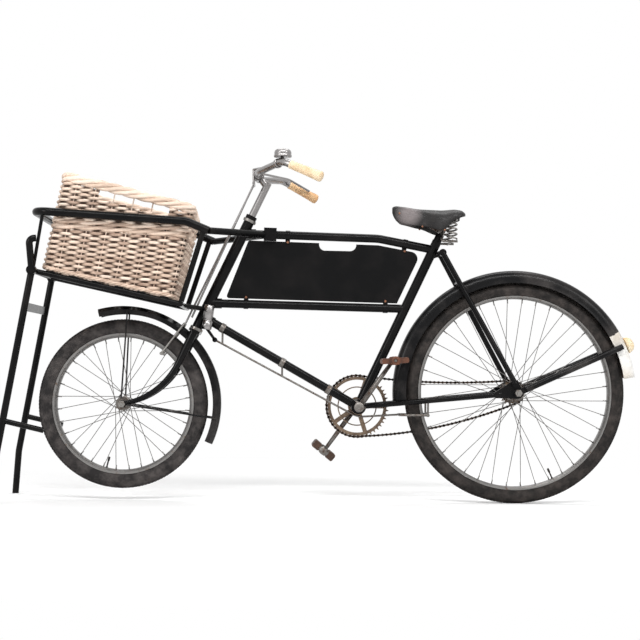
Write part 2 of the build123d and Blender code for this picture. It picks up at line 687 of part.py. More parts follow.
def on_top_tube(forward):
    """A point of the top tube's axis and its direction there."""
    x = REAR_X - forward
    start, end = (top_root, top_bend) if x < top_bend.X else (top_bend, seat_joint)
    run = (end - start).normalized()
    return start + run * ((x - start.X) / run.X), run


def on_panel_tube(forward):
    run = (panel_end - panel_root).normalized()
    return panel_root + run * ((REAR_X - forward - panel_root.X) / run.X), run


PANEL_CLIPS = [  # tube, forward, towards the panel
    (on_top_tube, 688.0, -1), (on_top_tube, 334.0, -1), (on_panel_tube, 811.0, 1), (on_panel_tube, 392.0, 1),
]
with BuildPart() as panel_clips:
    for tube, forward, way in PANEL_CLIPS:
        centre, run = tube(forward)
        rod(centre - run * CLIP_WIDTH / 2, centre + run * CLIP_WIDTH / 2, TUBE_R + SEAT_GAP + CLIP_WALL)
        with Locations(Plane(origin=centre, x_dir=run, z_dir=(-run.Z * way, 0, run.X * way))):
            Box(CLIP_WIDTH, PANEL_THICKNESS + 2 * (SEAT_GAP + CLIP_WALL), panel_drop + CLIP_WIDTH / 2,
                align=BASE)
    for tube, forward, way in PANEL_CLIPS:
        centre, run = tube(forward)
        rod(centre - run * CLIP_WIDTH, centre + run * CLIP_WIDTH, TUBE_R + SEAT_GAP, Mode.SUBTRACT)
        with Locations(Plane(origin=centre, x_dir=run, z_dir=(-run.Z * way, 0, run.X * way))):
            Box(2 * CLIP_WIDTH, PANEL_THICKNESS + 2 * SEAT_GAP, 2 * panel_drop + CLIP_WIDTH, align=BASE,
                mode=Mode.SUBTRACT)
save(panel_clips, "panel_clips")

# Carrier: a sloping slatted platform in front of the head tube
TRAY_AHEAD = Vector(-cos(radians(TRAY_TILT)), 0, sin(radians(TRAY_TILT)))
TRAY_UP = Vector(sin(radians(TRAY_TILT)), 0, cos(radians(TRAY_TILT)))
TRAY_REAR = at(TRAY_REAR_FORWARD, 0, TRAY_REAR_HEIGHT)


def on_tray(ahead, side, up):
    return TRAY_REAR + TRAY_AHEAD * ahead + TRAY_UP * up + Vector(0, side, 0)


PIVOT = on_tray(TRAY_LENGTH, 0, 0)
pivot_half = STAND_HALF - STAND_EYE_HALF - SEAT_GAP
stud_half = STAND_HALF + STAND_EYE_HALF + SEAT_GAP
slat_low = TRAY_TUBE_R - SLAT_THICKNESS / 2
slat_pitch = (TRAY_LENGTH - 4 * TRAY_TUBE_R) / SLATS
with BuildPart() as carrier_platform:
    for _, side in SIDES:
        rod(on_tray(0, side * TRAY_HALF, 0), on_tray(TRAY_LENGTH, side * TRAY_HALF, 0), TRAY_TUBE_R)
    rod(on_tray(0, -TRAY_HALF - TRAY_TUBE_R, 0), on_tray(0, TRAY_HALF + TRAY_TUBE_R, 0), TRAY_TUBE_R)
    rod(on_tray(TRAY_LENGTH, -pivot_half, 0), on_tray(TRAY_LENGTH, pivot_half, 0), TRAY_TUBE_R)
    rod(on_tray(TRAY_LENGTH, -stud_half, 0), on_tray(TRAY_LENGTH, stud_half, 0), STAND_STUD_R)
    for _, side in SIDES:
        rod(on_tray(TRAY_LENGTH, side * stud_half, 0),
            on_tray(TRAY_LENGTH, side * (stud_half + STAND_STUD_R), 0), AXLE_NUT_R)
    for slat in range(SLATS):
        middle = on_tray(2 * TRAY_TUBE_R + slat_pitch * (slat + 0.5), 0, slat_low)
        with Locations(Plane(origin=middle, x_dir=TRAY_AHEAD, z_dir=TRAY_UP)):
            Box(SLAT_WIDTH, 2 * (TRAY_HALF + TRAY_TUBE_R), SLAT_THICKNESS, align=BASE)
save(carrier_platform, "carrier_platform")

rail_front = at(RAIL_FRONT_FORWARD, RAIL_HALF, RAIL_FRONT_HEIGHT)
rail_rear = at(RAIL_REAR_FORWARD, RAIL_HALF, RAIL_REAR_HEIGHT)
rail_end = at(RAIL_END_FORWARD, RAIL_HALF, RAIL_END_HEIGHT)
other_side = Vector(0, -2 * RAIL_HALF, 0)
with BuildPart() as carrier_rail:
    bent_tube([rail_end, rail_rear, rail_front, rail_front + other_side, rail_rear + other_side,
               rail_end + other_side], RAIL_CORNER_R, RAIL_R)
save(carrier_rail, "carrier_rail")

corner_ahead = UPRIGHT_TOP_FORWARD - RAIL_FRONT_FORWARD + RAIL_CORNER_R
upright_top_side = RAIL_HALF - RAIL_CORNER_R + sqrt(RAIL_CORNER_R ** 2 - corner_ahead ** 2)
with BuildPart() as carrier_uprights:
    for _, side in SIDES:
        mirror_y = Vector(0, (side - 1) * RAIL_HALF, 0)
        foot = on_tray(TRAY_LENGTH, side * (pivot_half - UPRIGHT_R - 2), 0)
        head = at(UPRIGHT_TOP_FORWARD, side * upright_top_side, RAIL_FRONT_HEIGHT)
        run = (head - foot).normalized()
        foot_trim = TRAY_TUBE_R + SEAT_GAP + UPRIGHT_R * abs(run.Y)
        rod(foot + run * foot_trim, head - run * (RAIL_R + SEAT_GAP), UPRIGHT_R)
        rod(on_tray(0, side * TRAY_HALF, 0), between(rail_end, rail_rear, 0.2) + mirror_y, REAR_UPRIGHT_R)
        rod(rail_end + mirror_y, rail_rear + mirror_y, RAIL_R + SEAT_GAP, Mode.SUBTRACT)
        rod(on_tray(-30, side * TRAY_HALF, 0), on_tray(30, side * TRAY_HALF, 0), TRAY_TUBE_R + SEAT_GAP,
            Mode.SUBTRACT)
    rod(on_tray(0, -TRAY_HALF - 30, 0), on_tray(0, TRAY_HALF + 30, 0), TRAY_TUBE_R + SEAT_GAP, Mode.SUBTRACT)
save(carrier_uprights, "carrier_uprights")

# Arms from the rail's ends to a clamp on the top tube
clamp_centre, clamp_run = on_top_tube(CLAMP_FORWARD)
with BuildPart() as carrier_clamp:
    rod(clamp_centre - clamp_run * CLAMP_LENGTH / 2, clamp_centre + clamp_run * CLAMP_LENGTH / 2,
        TUBE_R + SEAT_GAP + CLAMP_WALL)
    with Locations(Plane(origin=clamp_centre, x_dir=clamp_run, z_dir=(0, 1, 0))):
        Box(CLAMP_LENGTH, CLAMP_LENGTH, 2 * CLAMP_HALF)
    rod(clamp_centre - clamp_run * CLAMP_LENGTH, clamp_centre + clamp_run * CLAMP_LENGTH, TUBE_R + SEAT_GAP,
        Mode.SUBTRACT)
save(carrier_clamp, "carrier_clamp")

with BuildPart() as carrier_arms:
    for _, side in SIDES:
        mirror_y = Vector(0, (side - 1) * RAIL_HALF, 0)
        rod(rail_end + mirror_y, clamp_centre, ARM_R)
        rail_run = (rail_end - rail_rear).normalized()
        rod(rail_end + mirror_y + rail_run * SEAT_GAP, rail_rear + mirror_y, RAIL_R + SEAT_GAP, Mode.SUBTRACT)
    with Locations(clamp_centre):
        Box(8 * CLAMP_LENGTH, 2 * (CLAMP_HALF + SEAT_GAP), 4 * CLAMP_LENGTH, mode=Mode.SUBTRACT)
save(carrier_arms, "carrier_arms")

# Lower bracket: two bars from the head tube's flanks to the platform's rear bar
bracket_root = head_at_height(BRACKET_HEIGHT)
with BuildPart() as carrier_bracket:
    for _, side in SIDES:
        rod(bracket_root + Vector(0, side * (HEAD_TUBE_R + BRACKET_R), 0), on_tray(0, side * BRACKET_SPREAD, 0),
            BRACKET_R)
    rod(on_head(0), on_head(HEAD_LENGTH), HEAD_TUBE_R + SEAT_GAP, Mode.SUBTRACT)
    rod(on_tray(0, -TRAY_HALF, 0), on_tray(0, TRAY_HALF, 0), TRAY_TUBE_R + SEAT_GAP, Mode.SUBTRACT)
save(carrier_bracket, "carrier_bracket")

# Basket: a slightly flared box with hand-holds in its long walls
basket_base = slat_low + SLAT_THICKNESS + SEAT_GAP
basket_middle = BASKET_REAR_GAP + BASKET_LENGTH / 2


def basket_plane(up):
    return Plane(origin=on_tray(basket_middle, 0, basket_base + up), x_dir=TRAY_AHEAD, z_dir=TRAY_UP)


with BuildPart() as basket:
    with BuildSketch(basket_plane(0)):
        RectangleRounded(BASKET_LENGTH, BASKET_WIDTH, BASKET_CORNER_R)
    extrude(amount=BASKET_HEIGHT, taper=BASKET_FLARE)
    with BuildSketch(basket_plane(BASKET_FLOOR)):
        RectangleRounded(BASKET_LENGTH - 2 * BASKET_WALL, BASKET_WIDTH - 2 * BASKET_WALL,
                         BASKET_CORNER_R - BASKET_WALL)
    extrude(amount=BASKET_HEIGHT, taper=BASKET_FLARE, mode=Mode.SUBTRACT)
    with Locations(basket_plane(BASKET_HEIGHT - HANDHOLD_DROP - HANDHOLD_HEIGHT / 2)):
        Box(HANDHOLD_LENGTH, 2 * BASKET_WIDTH, HANDHOLD_HEIGHT, mode=Mode.SUBTRACT)
save(basket, "basket")

# Front stand: its hooked tops rest on the front uprights when the feet are down
pivot_forward = REAR_X - PIVOT.X
stand_bend = at(STAND_BEND_FORWARD, 0, STAND_BEND_HEIGHT)
stand_foot = at(STAND_FOOT_FORWARD, 0, 0)
leg_run = (stand_bend - PIVOT).normalized()
upright_share = (STAND_CREST_HEIGHT - PIVOT.Z) / (RAIL_FRONT_HEIGHT - PIVOT.Z)
upright_forward = pivot_forward + (UPRIGHT_TOP_FORWARD - pivot_forward) * upright_share
hook_tip = at(upright_forward + UPRIGHT_R + SEAT_GAP, 0, STAND_CREST_HEIGHT)
hook_corner = at(upright_forward + UPRIGHT_R + HOOK_LENGTH, 0, STAND_CREST_HEIGHT)
prong_root = PIVOT + leg_run * ((PRONG_HEIGHT - PIVOT.Z) / leg_run.Z)
prong_run = Vector(cos(radians(PRONG_DROP)), 0, -sin(radians(PRONG_DROP)))
under_foot = stand_foot + (stand_foot - stand_bend).normalized() * STAND_TUBE_R
with BuildPart() as stand_legs:
    for _, side in SIDES:
        shift = Vector(0, side * STAND_HALF, 0)
        bent_tube([p + shift for p in (under_foot, stand_bend, PIVOT, hook_corner, hook_tip)],
                  [STAND_BEND_R, STAND_BEND_R, HOOK_BEND_R], STAND_TUBE_R)
        rod(PIVOT + shift - Vector(0, STAND_EYE_HALF, 0), PIVOT + shift + Vector(0, STAND_EYE_HALF, 0),
            STAND_EYE_R)
        rod(prong_root + shift, prong_root + prong_run * PRONG_LENGTH + shift, PRONG_R)
    rod(PIVOT - Vector(0, 2 * STAND_HALF, 0), PIVOT + Vector(0, 2 * STAND_HALF, 0),
        STAND_STUD_R + RUN_GAP, Mode.SUBTRACT)
    with Locations(stand_foot):
        Box(10 * STAND_TUBE_R, 4 * STAND_HALF, 4 * STAND_TUBE_R, mode=Mode.SUBTRACT,
            align=(Align.CENTER, Align.CENTER, Align.MAX))
save(stand_legs, "stand_legs")

with BuildPart() as stand_rung:
    with Locations(Plane(origin=PIVOT + leg_run * RUNG_DROP, x_dir=(0, 1, 0), z_dir=leg_run)):
        Box(2 * (STAND_HALF - STAND_TUBE_R - SEAT_GAP), RUNG_THICKNESS, RUNG_WIDTH)
save(stand_rung, "stand_rung")

# Fork: steerer, crown and lock nut, then the two blades
cup_low = -HEADSET_HEIGHT - SEAT_GAP
crown_low = cup_low - CROWN_HEIGHT
nut_low = HEAD_LENGTH + HEADSET_HEIGHT + SEAT_GAP
crown_half = BLADE_SIDE + BLADE_TOP_R
with BuildPart() as fork_crown:
    with BuildSketch(Plane(origin=on_head(crown_low), x_dir=HEAD_BACK, z_dir=HEAD_UP)):
        RectangleRounded(CROWN_WIDTH, 2 * crown_half, CROWN_WIDTH / 3)
    extrude(amount=CROWN_HEIGHT)
    boss_out = (on_head(crown_low) - FRONT_AXLE).normalized()
    boss_low = FRONT_AXLE + boss_out * (FRONT_GUARD_R + SEAT_GAP)
    rod(boss_low, boss_low + boss_out * GUARD_BOSS_LENGTH, GUARD_BOSS_R)
    rod(on_head(crown_low), on_head(nut_low + LOCK_NUT_HEIGHT), STEERER_R)
    rod(on_head(nut_low), on_head(nut_low + LOCK_NUT_HEIGHT), LOCK_NUT_R)
    rod(on_head(STEM_ROOT - 1), on_head(STEM_TOP), STEM_R + SEAT_GAP, Mode.SUBTRACT)
save(fork_crown, "fork_crown")

blade_top = crown_low - SEAT_GAP


def raked_blade(start, end):
    """The lower part of a blade: it leaves along the head axis and tapers round to the axle."""
    with BuildLine() as rake:
        TangentArc(start, end, tangent=-HEAD_UP)
    with BuildSketch(Plane(origin=start, z_dir=rake.line % 0)) as upper:
        Circle(BLADE_LOW_R)
    with BuildSketch(Plane(origin=end, z_dir=rake.line % 1)) as lower:
        Circle(BLADE_TIP_R)
    sweep([upper.sketch, lower.sketch], path=rake.line, multisection=True)


with BuildPart() as fork_blades:
    for _, side in SIDES:
        top = on_head(blade_top, 0, side * BLADE_SIDE)
        low = on_head(blade_top - BLADE_STRAIGHT, 0, side * BLADE_SIDE)
        eye = FRONT_AXLE + Vector(0, side * BLADE_SIDE, 0)
        cone(top, low, BLADE_TOP_R, BLADE_LOW_R)
        raked_blade(low, eye)
        rod(eye - Vector(0, BLADE_TIP_R, 0), eye + Vector(0, BLADE_TIP_R, 0), BLADE_EYE_R)
    cross_bar(WHEELBASE, FRONT_AXLE.Z, FRONT_AXLE_R + SEAT_GAP, -FRONT_AXLE_HALF, FRONT_AXLE_HALF,
              Mode.SUBTRACT)
save(fork_blades, "fork_blades")

with BuildPart() as front_axle:
    cross_bar(WHEELBASE, FRONT_AXLE.Z, FRONT_AXLE_R, -FRONT_AXLE_HALF, FRONT_AXLE_HALF)
    eye_in, eye_out = BLADE_SIDE - BLADE_TIP_R - SEAT_GAP, BLADE_SIDE + BLADE_TIP_R + SEAT_GAP
    for _, side in SIDES:
        for inner, outer, radius in [(FRONT_HUB_HALF + SEAT_GAP, eye_in, LOCKNUT_R),
                                     (eye_out, eye_out + AXLE_NUT_LENGTH, AXLE_NUT_R)]:
            cross_bar(WHEELBASE, FRONT_AXLE.Z, radius, side * inner, side * outer)
save(front_axle, "front_axle")

# Stem and handlebar
BAR_CENTRE = on_head(STEM_TOP + STEM_RISE, -STEM_REACH)
with BuildPart() as stem:
    rod(on_head(STEM_ROOT), on_head(STEM_TOP), STEM_R)
    rod(on_head(STEM_TOP - STEM_R), BAR_CENTRE, STEM_R)
    rod(BAR_CENTRE - Vector(0, STEM_CLAMP_HALF, 0), BAR_CENTRE + Vector(0, STEM_CLAMP_HALF, 0), STEM_BAR_R)
    rod(BAR_CENTRE - Vector(0, 2 * STEM_CLAMP_HALF, 0), BAR_CENTRE + Vector(0, 2 * STEM_CLAMP_HALF, 0),
        BAR_R + SEAT_GAP, Mode.SUBTRACT)
save(stem, "stem")


def on_bar(back, side, rise):
    return BAR_CENTRE + Vector(back, side, rise)


with BuildPart() as handlebar:
    right_half = [on_bar(BAR_END_BACK, BAR_END_SIDE, -BAR_END_DROP),
                  on_bar(BAR_BEND_BACK, BAR_BEND_SIDE, BAR_BEND_RISE), on_bar(0, BAR_FLAT_HALF, 0)]
    left_half = [Vector(p.X, -p.Y, p.Z) for p in reversed(right_half)]
    bent_tube(right_half + left_half, [BAR_GRIP_BEND_R, BAR_BEND_R, BAR_BEND_R, BAR_GRIP_BEND_R], BAR_R)
save(handlebar, "handlebar")

with BuildPart() as grips:
    for _, side in SIDES:
        end = on_bar(BAR_END_BACK, side * BAR_END_SIDE, -BAR_END_DROP)
        bend = on_bar(BAR_BEND_BACK, side * BAR_BEND_SIDE, BAR_BEND_RISE)
        run = (end - bend).normalized()
        cone(end - run * (GRIP_LENGTH - GRIP_CAP), end + run * GRIP_CAP, GRIP_R, GRIP_END_R)
        rod(end - run * GRIP_LENGTH, end + run * SEAT_GAP, BAR_R + SEAT_GAP, Mode.SUBTRACT)
save(grips, "grips")

# Bell on the left of the bar, on a band
bell_band = between(on_bar(0, -BAR_FLAT_HALF, 0), on_bar(BAR_BEND_BACK, -BAR_BEND_SIDE, BAR_BEND_RISE),
                    BELL_BAND_SHARE)
bell_run = (on_bar(BAR_BEND_BACK, -BAR_BEND_SIDE, BAR_BEND_RISE) - on_bar(0, -BAR_FLAT_HALF, 0)).normalized()
bell_base = bell_band + Vector(BELL_BACK, 0, BELL_RISE)
with BuildPart() as bell:
    rod(bell_band - bell_run * BAND_WIDTH / 2, bell_band + bell_run * BAND_WIDTH / 2, BAR_R + BAND_WALL)
    rod(bell_band, bell_base + Vector(0, 0, 1), BELL_POST_R)
    rod(bell_base, bell_base + Vector(0, 0, BELL_HEIGHT / 2), BELL_R)
    cone(bell_base + Vector(0, 0, BELL_HEIGHT / 2), bell_base + Vector(0, 0, BELL_HEIGHT), BELL_R, BELL_R / 2)
    rod(bell_band - bell_run * BAND_WIDTH, bell_band + bell_run * BAND_WIDTH, BAR_R + SEAT_GAP, Mode.SUBTRACT)
save(bell, "bell")

# Brake levers along the bar, with the two rods that run down in front of the head tube
yoke = on_head(YOKE_ALONG, -FRONT_ROD_AHEAD)
with BuildPart() as brake_levers:
    for _, side in SIDES:
        inner = on_bar(-LEVER_AHEAD, side * LEVER_INNER_SIDE, LEVER_RISE)
        bent_tube([inner, on_bar(BAR_BEND_BACK + LEVER_BACK, side * (BAR_BEND_SIDE - LEVER_INSIDE), LEVER_RISE),
                   on_bar(BAR_END_BACK - LEVER_BACK, side * (BAR_END_SIDE - LEVER_INSIDE), -LEVER_END_DROP)],
                  LEVER_BEND_R, LEVER_R)
        arm_end = yoke + Vector(0, side * LEVER_INNER_SIDE, 0)
        rod(inner, arm_end + (arm_end - inner).normalized() * PAST, LEVER_R)
        band = on_bar(0, side * LEVER_BAND_SIDE, 0)
        rod(band - Vector(0, BAND_WIDTH / 2, 0), band + Vector(0, BAND_WIDTH / 2, 0), BAR_R + BAND_WALL)
        share = (LEVER_BAND_SIDE - LEVER_INNER_SIDE) / (BAR_BEND_SIDE - LEVER_INSIDE - LEVER_INNER_SIDE)
        hold = on_bar(-LEVER_AHEAD + share * (BAR_BEND_BACK + LEVER_BACK + LEVER_AHEAD), side * LEVER_BAND_SIDE,
                      LEVER_RISE)
        rod(band, hold, LEVER_R)
    rod(yoke - Vector(0, LEVER_INNER_SIDE + YOKE_R, 0), yoke + Vector(0, LEVER_INNER_SIDE + YOKE_R, 0),
        YOKE_R)
    rod(yoke + HEAD_UP * PAST + Vector(0, ROD_SIDE, 0), on_head(FRONT_ROD_LOW, -FRONT_ROD_AHEAD, ROD_SIDE), BRAKE_ROD_R)
    rod(yoke + HEAD_UP * PAST - Vector(0, ROD_SIDE, 0), on_head(REAR_ROD_LOW, -REAR_ROD_AHEAD, -ROD_SIDE),
        BRAKE_ROD_R)
    for _, side in SIDES:
        band = on_bar(0, side * LEVER_BAND_SIDE, 0)
        rod(band - Vector(0, BAND_WIDTH, 0), band + Vector(0, BAND_WIDTH, 0), BAR_R + SEAT_GAP, Mode.SUBTRACT)
save(brake_levers, "brake_levers")

# Front stirrup brake: it straddles the mudguard and its shoes sit under the rim
front_rim_r = FRONT_TYRE_R - FRONT_TYRE_DEPTH - FRONT_RIM_DEPTH
stirrup_top = on_head(FRONT_ROD_LOW, -FRONT_ROD_AHEAD) - HEAD_UP * (STIRRUP_R + SEAT_GAP)
stirrup_out = (stirrup_top - FRONT_AXLE).normalized()
shoe_r = front_rim_r - SHOE_GAP - SHOE_R
front_shoe = FRONT_AXLE + stirrup_out * shoe_r
with BuildPart() as front_brake:
    half = Vector(0, STIRRUP_HALF, 0)
    bent_tube([front_shoe - half, stirrup_top - half, stirrup_top + half, front_shoe + half], STIRRUP_BEND_R,
              STIRRUP_R)
    for _, side in SIDES:
        rod(front_shoe + Vector(0, side * (STIRRUP_HALF + SHOE_R), 0), front_shoe + Vector(0, side * SHOE_INNER, 0),
            SHOE_R)
save(front_brake, "front_brake")


# Mudguards: thin shells turned about the axles
def guard_profile(radius, half, depth):
    """The open section of a mudguard: outside, then inside."""
    outside = [(radius - depth, half), (radius - depth * GUARD_SHOULDER, half), (radius, half * GUARD_CROWN)]
    inset = GUARD_THICKNESS
    inside = [(radius - depth, half - inset), (radius - depth * GUARD_SHOULDER - inset / 3, half - inset),
              (radius - inset, half * GUARD_CROWN - inset / 3)]
    full_outside = outside + [(r, -side) for r, side in reversed(outside)]
    full_inside = [(r, side) for r, side in inside] + [(r, -side) for r, side in reversed(inside)]
    return full_outside + list(reversed(full_inside))


with BuildPart() as rear_mudguard:
    turned(guard_profile(REAR_GUARD_R, REAR_GUARD_HALF, REAR_GUARD_DEPTH), REAR_AXLE, REAR_GUARD_START,
           REAR_GUARD_ARC)
    for _, side in SIDES:
        rod(BB + Vector(0, side * CHAIN_STAY_SIDE, 0), REAR_AXLE + Vector(0, side * dropout_mid, 0),
            STAY_R + 1, Mode.SUBTRACT)
save(rear_mudguard, "rear_mudguard")

with BuildPart() as front_mudguard:
    turned(guard_profile(FRONT_GUARD_R, FRONT_GUARD_HALF, FRONT_GUARD_DEPTH), FRONT_AXLE, FRONT_GUARD_START,
           FRONT_GUARD_ARC)
save(front_mudguard, "front_mudguard")

# Bridges between the stays, against the mudguard
bridge_r = REAR_GUARD_R + SEAT_GAP + BRIDGE_R


def stay_crossing(start, end, radius):
    """Where the line from start to end, seen from the side, is that far from the rear axle."""
    run, off = end - start, start - REAR_AXLE
    a = run.X ** 2 + run.Z ** 2
    b = off.X * run.X + off.Z * run.Z
    c = off.X ** 2 + off.Z ** 2 - radius ** 2
    share = (-b - sqrt(b * b - a * c)) / a
    return start + run * share


STAY_LINES = [  # upper or front end, lower or rear end, on the right side
    (seat_ear + Vector(0, SEAT_STAY_TOP_SIDE + STAY_R / 2, 0), seat_bolt + Vector(0, stay_low_side, 0)),
    (BB + Vector(0, CHAIN_STAY_SIDE, 0), REAR_AXLE + Vector(0, dropout_mid, 0)),
]
with BuildPart() as stay_bridges:
    for start, end in STAY_LINES:
        place = stay_crossing(start, end, bridge_r)
        rod(Vector(place.X, -place.Y, place.Z), place, BRIDGE_R)
    for start, end in STAY_LINES:
        for _, side in SIDES:
            rod(Vector(start.X, side * start.Y, start.Z), Vector(end.X, side * end.Y, end.Z),
                STAY_R + SEAT_GAP, Mode.SUBTRACT)
save(stay_bridges, "stay_bridges")

# Heavy stays from the rear axle to the mudguard's tail
stay_out = Vector(cos(radians(GUARD_STAY_RISE)), 0, sin(radians(GUARD_STAY_RISE)))
eye_in = DROPOUT_SIDE + DROPOUT_THICKNESS + SEAT_GAP
with BuildPart() as guard_stays:
    for _, side in SIDES:
        bar_root = REAR_AXLE + stay_out * GUARD_STAY_ROOT + Vector(0, side * (eye_in + GUARD_STAY_R), 0)
        bar_tip = REAR_AXLE + stay_out * (REAR_GUARD_R - REAR_GUARD_DEPTH * 0.7) + Vector(
            0, side * (REAR_GUARD_HALF + SEAT_GAP + GUARD_STAY_R), 0)
        rod(bar_root, bar_tip, GUARD_STAY_R)
        cross_bar(0, REAR_AXLE.Z, GUARD_STAY_EYE_R, side * eye_in, side * STAY_EYE_OUT)
        eye_mid = REAR_AXLE + Vector(0, side * (eye_in + STAY_EYE_OUT) / 2, 0)
        with Locations(Plane(origin=eye_mid, x_dir=stay_out, z_dir=(0, 1, 0))):
            Box(GUARD_STAY_ROOT + GUARD_STAY_R, 2 * GUARD_STAY_R, STAY_EYE_OUT - eye_in,
                align=(Align.MIN, Align.CENTER, Align.CENTER))
    cross_bar(0, REAR_AXLE.Z, REAR_AXLE_R + SEAT_GAP, -REAR_AXLE_HALF, REAR_AXLE_HALF, Mode.SUBTRACT)
save(guard_stays, "guard_stays")

reflector_out = Vector(cos(radians(REFLECTOR_RISE)), 0, sin(radians(REFLECTOR_RISE)))
with BuildPart() as tail_reflector:
    seat = REAR_AXLE + reflector_out * (REAR_GUARD_R + SEAT_GAP)
    rod(seat, seat + reflector_out * REFLECTOR_DEPTH / 2, REFLECTOR_R)
    cone(seat + reflector_out * REFLECTOR_DEPTH / 2, seat + reflector_out * REFLECTOR_DEPTH, REFLECTOR_R,
         REFLECTOR_R / 2)
save(tail_reflector, "tail_reflector")

# Wire stays of the front mudguard
with BuildPart() as front_guard_stays:
    guard_side_r = FRONT_GUARD_R - FRONT_GUARD_DEPTH / 2
    for _, side in SIDES:
        root = FRONT_AXLE + Vector(0, side * (BLADE_SIDE + BLADE_TIP_R + SEAT_GAP + WIRE_STAY_R), 0)
        guard_side = Vector(0, side * (FRONT_GUARD_HALF + SEAT_GAP + WIRE_STAY_R), 0)
        for root_angle, tip_angle in WIRE_STAY_ANGLES:
            start = root + Vector(cos(radians(root_angle)), 0, sin(radians(root_angle))) * WIRE_STAY_ROOT
            tip = FRONT_AXLE + guard_side + Vector(cos(radians(tip_angle)), 0,
                                                   sin(radians(tip_angle))) * guard_side_r
            rod(start, tip, WIRE_STAY_R)
save(front_guard_stays, "front_guard_stays")

# Drive: bottom bracket axle, chainring, cranks, pedals, sprocket and chain
def pitch_radius(teeth):
    return CHAIN_PITCH / (2 * sin(radians(180 / teeth)))


crank_out = CRANK_SIDE + CRANK_THICKNESS
with BuildPart() as crank_axle:
    cross_bar(BB_FORWARD, BB_HEIGHT, CRANK_AXLE_R, -crank_out, crank_out)
save(crank_axle, "crank_axle")


def toothed_disc(teeth):
    root_r = pitch_radius(teeth) - TOOTH_HEIGHT / 2
    Circle(root_r)
    with PolarLocations(root_r + TOOTH_HEIGHT / 2 - 1, teeth):
        Trapezoid(CHAIN_PITCH * TOOTH_SHARE, TOOTH_HEIGHT + 2, TOOTH_SLOPE, rotation=-90)


ring_r = pitch_radius(RING_TEETH)
with BuildPart() as chainring:
    with BuildSketch(side_plane(CHAIN_LINE)):
        with Locations((BB.X, BB.Z)):
            toothed_disc(RING_TEETH)
            Circle(ring_r - RING_RIM, mode=Mode.SUBTRACT)
            Circle(RING_BOSS_R)
            with PolarLocations((ring_r - RING_RIM + RING_BOSS_R) / 2, RING_ARMS):
                Rectangle(ring_r - RING_RIM - RING_BOSS_R + 8, RING_ARM_WIDTH)
    extrude(amount=RING_THICKNESS / 2, both=True)
    cross_bar(BB_FORWARD, BB_HEIGHT, CRANK_BOSS_R, CHAIN_LINE, CRANK_SIDE - SEAT_GAP)
    cross_bar(BB_FORWARD, BB_HEIGHT, CRANK_AXLE_R + SEAT_GAP, 0, crank_out, Mode.SUBTRACT)
save(chainring, "chainring")

pedal_in = crank_out + PEDAL_GAP
for side_name, side in SIDES:
    turn = radians(CRANK_RISE if side < 0 else CRANK_RISE + 180)
    pedal_at = BB + Vector(cos(turn), 0, sin(turn)) * CRANK_LENGTH
    with BuildPart() as crank:
        with BuildSketch(side_plane(side * (CRANK_SIDE + CRANK_THICKNESS / 2))):
            with Locations((BB.X, BB.Z)):
                Circle(CRANK_BOSS_R)
            with Locations((pedal_at.X, pedal_at.Z)):
                Circle(CRANK_EYE_R)
            make_hull()
        extrude(amount=CRANK_THICKNESS / 2, both=True)
        rod(pedal_at + Vector(0, side * CRANK_SIDE, 0), pedal_at + Vector(0, side * (pedal_in + PEDAL_WIDTH), 0),
            PEDAL_SPINDLE_R)
        cross_bar(BB_FORWARD, BB_HEIGHT, CRANK_AXLE_R + SEAT_GAP, -2 * crank_out, 2 * crank_out, Mode.SUBTRACT)
    save(crank, f"{side_name}_crank")

    tilt = radians(PEDAL_TILTS[side_name])
    middle = pedal_at + Vector(0, side * (pedal_in + PEDAL_WIDTH / 2), 0)
    with BuildPart() as pedal:
        with Locations(Plane(origin=middle, x_dir=(cos(tilt), 0, -sin(tilt)), z_dir=(sin(tilt), 0, cos(tilt)))):
            Cylinder(PEDAL_TUBE_R, PEDAL_WIDTH, rotation=(90, 0, 0))
            with GridLocations(0, PEDAL_WIDTH - PEDAL_PLATE, 1, 2):
                Box(PEDAL_LENGTH - 4, PEDAL_PLATE, PEDAL_THICKNESS - 6)
            with GridLocations(PEDAL_LENGTH - PEDAL_BLOCK, 0, 2, 1):
                Box(PEDAL_BLOCK, PEDAL_WIDTH - PEDAL_PLATE, PEDAL_THICKNESS)
            Cylinder(PEDAL_SPINDLE_R + RUN_GAP, 2 * PEDAL_WIDTH, rotation=(90, 0, 0), mode=Mode.SUBTRACT)
    save(pedal, f"{side_name}_pedal")

sprocket_r = pitch_radius(SPROCKET_TEETH)
with BuildPart() as rear_sprocket:
    with BuildSketch(side_plane(CHAIN_LINE)):
        with Locations((REAR_AXLE.X, REAR_AXLE.Z)):
            toothed_disc(SPROCKET_TEETH)
            Circle(HUB_NECK_R + SEAT_GAP, mode=Mode.SUBTRACT)
    extrude(amount=RING_THICKNESS / 2, both=True)
save(rear_sprocket, "rear_sprocket")


def chain_loop(growth):
    """The chain's run round both toothed wheels, grown outwards."""
    with Locations((BB.X, BB.Z)):
        Circle(ring_r + growth)
    with Locations((REAR_AXLE.X, REAR_AXLE.Z)):
        Circle(sprocket_r + growth)
    make_hull()


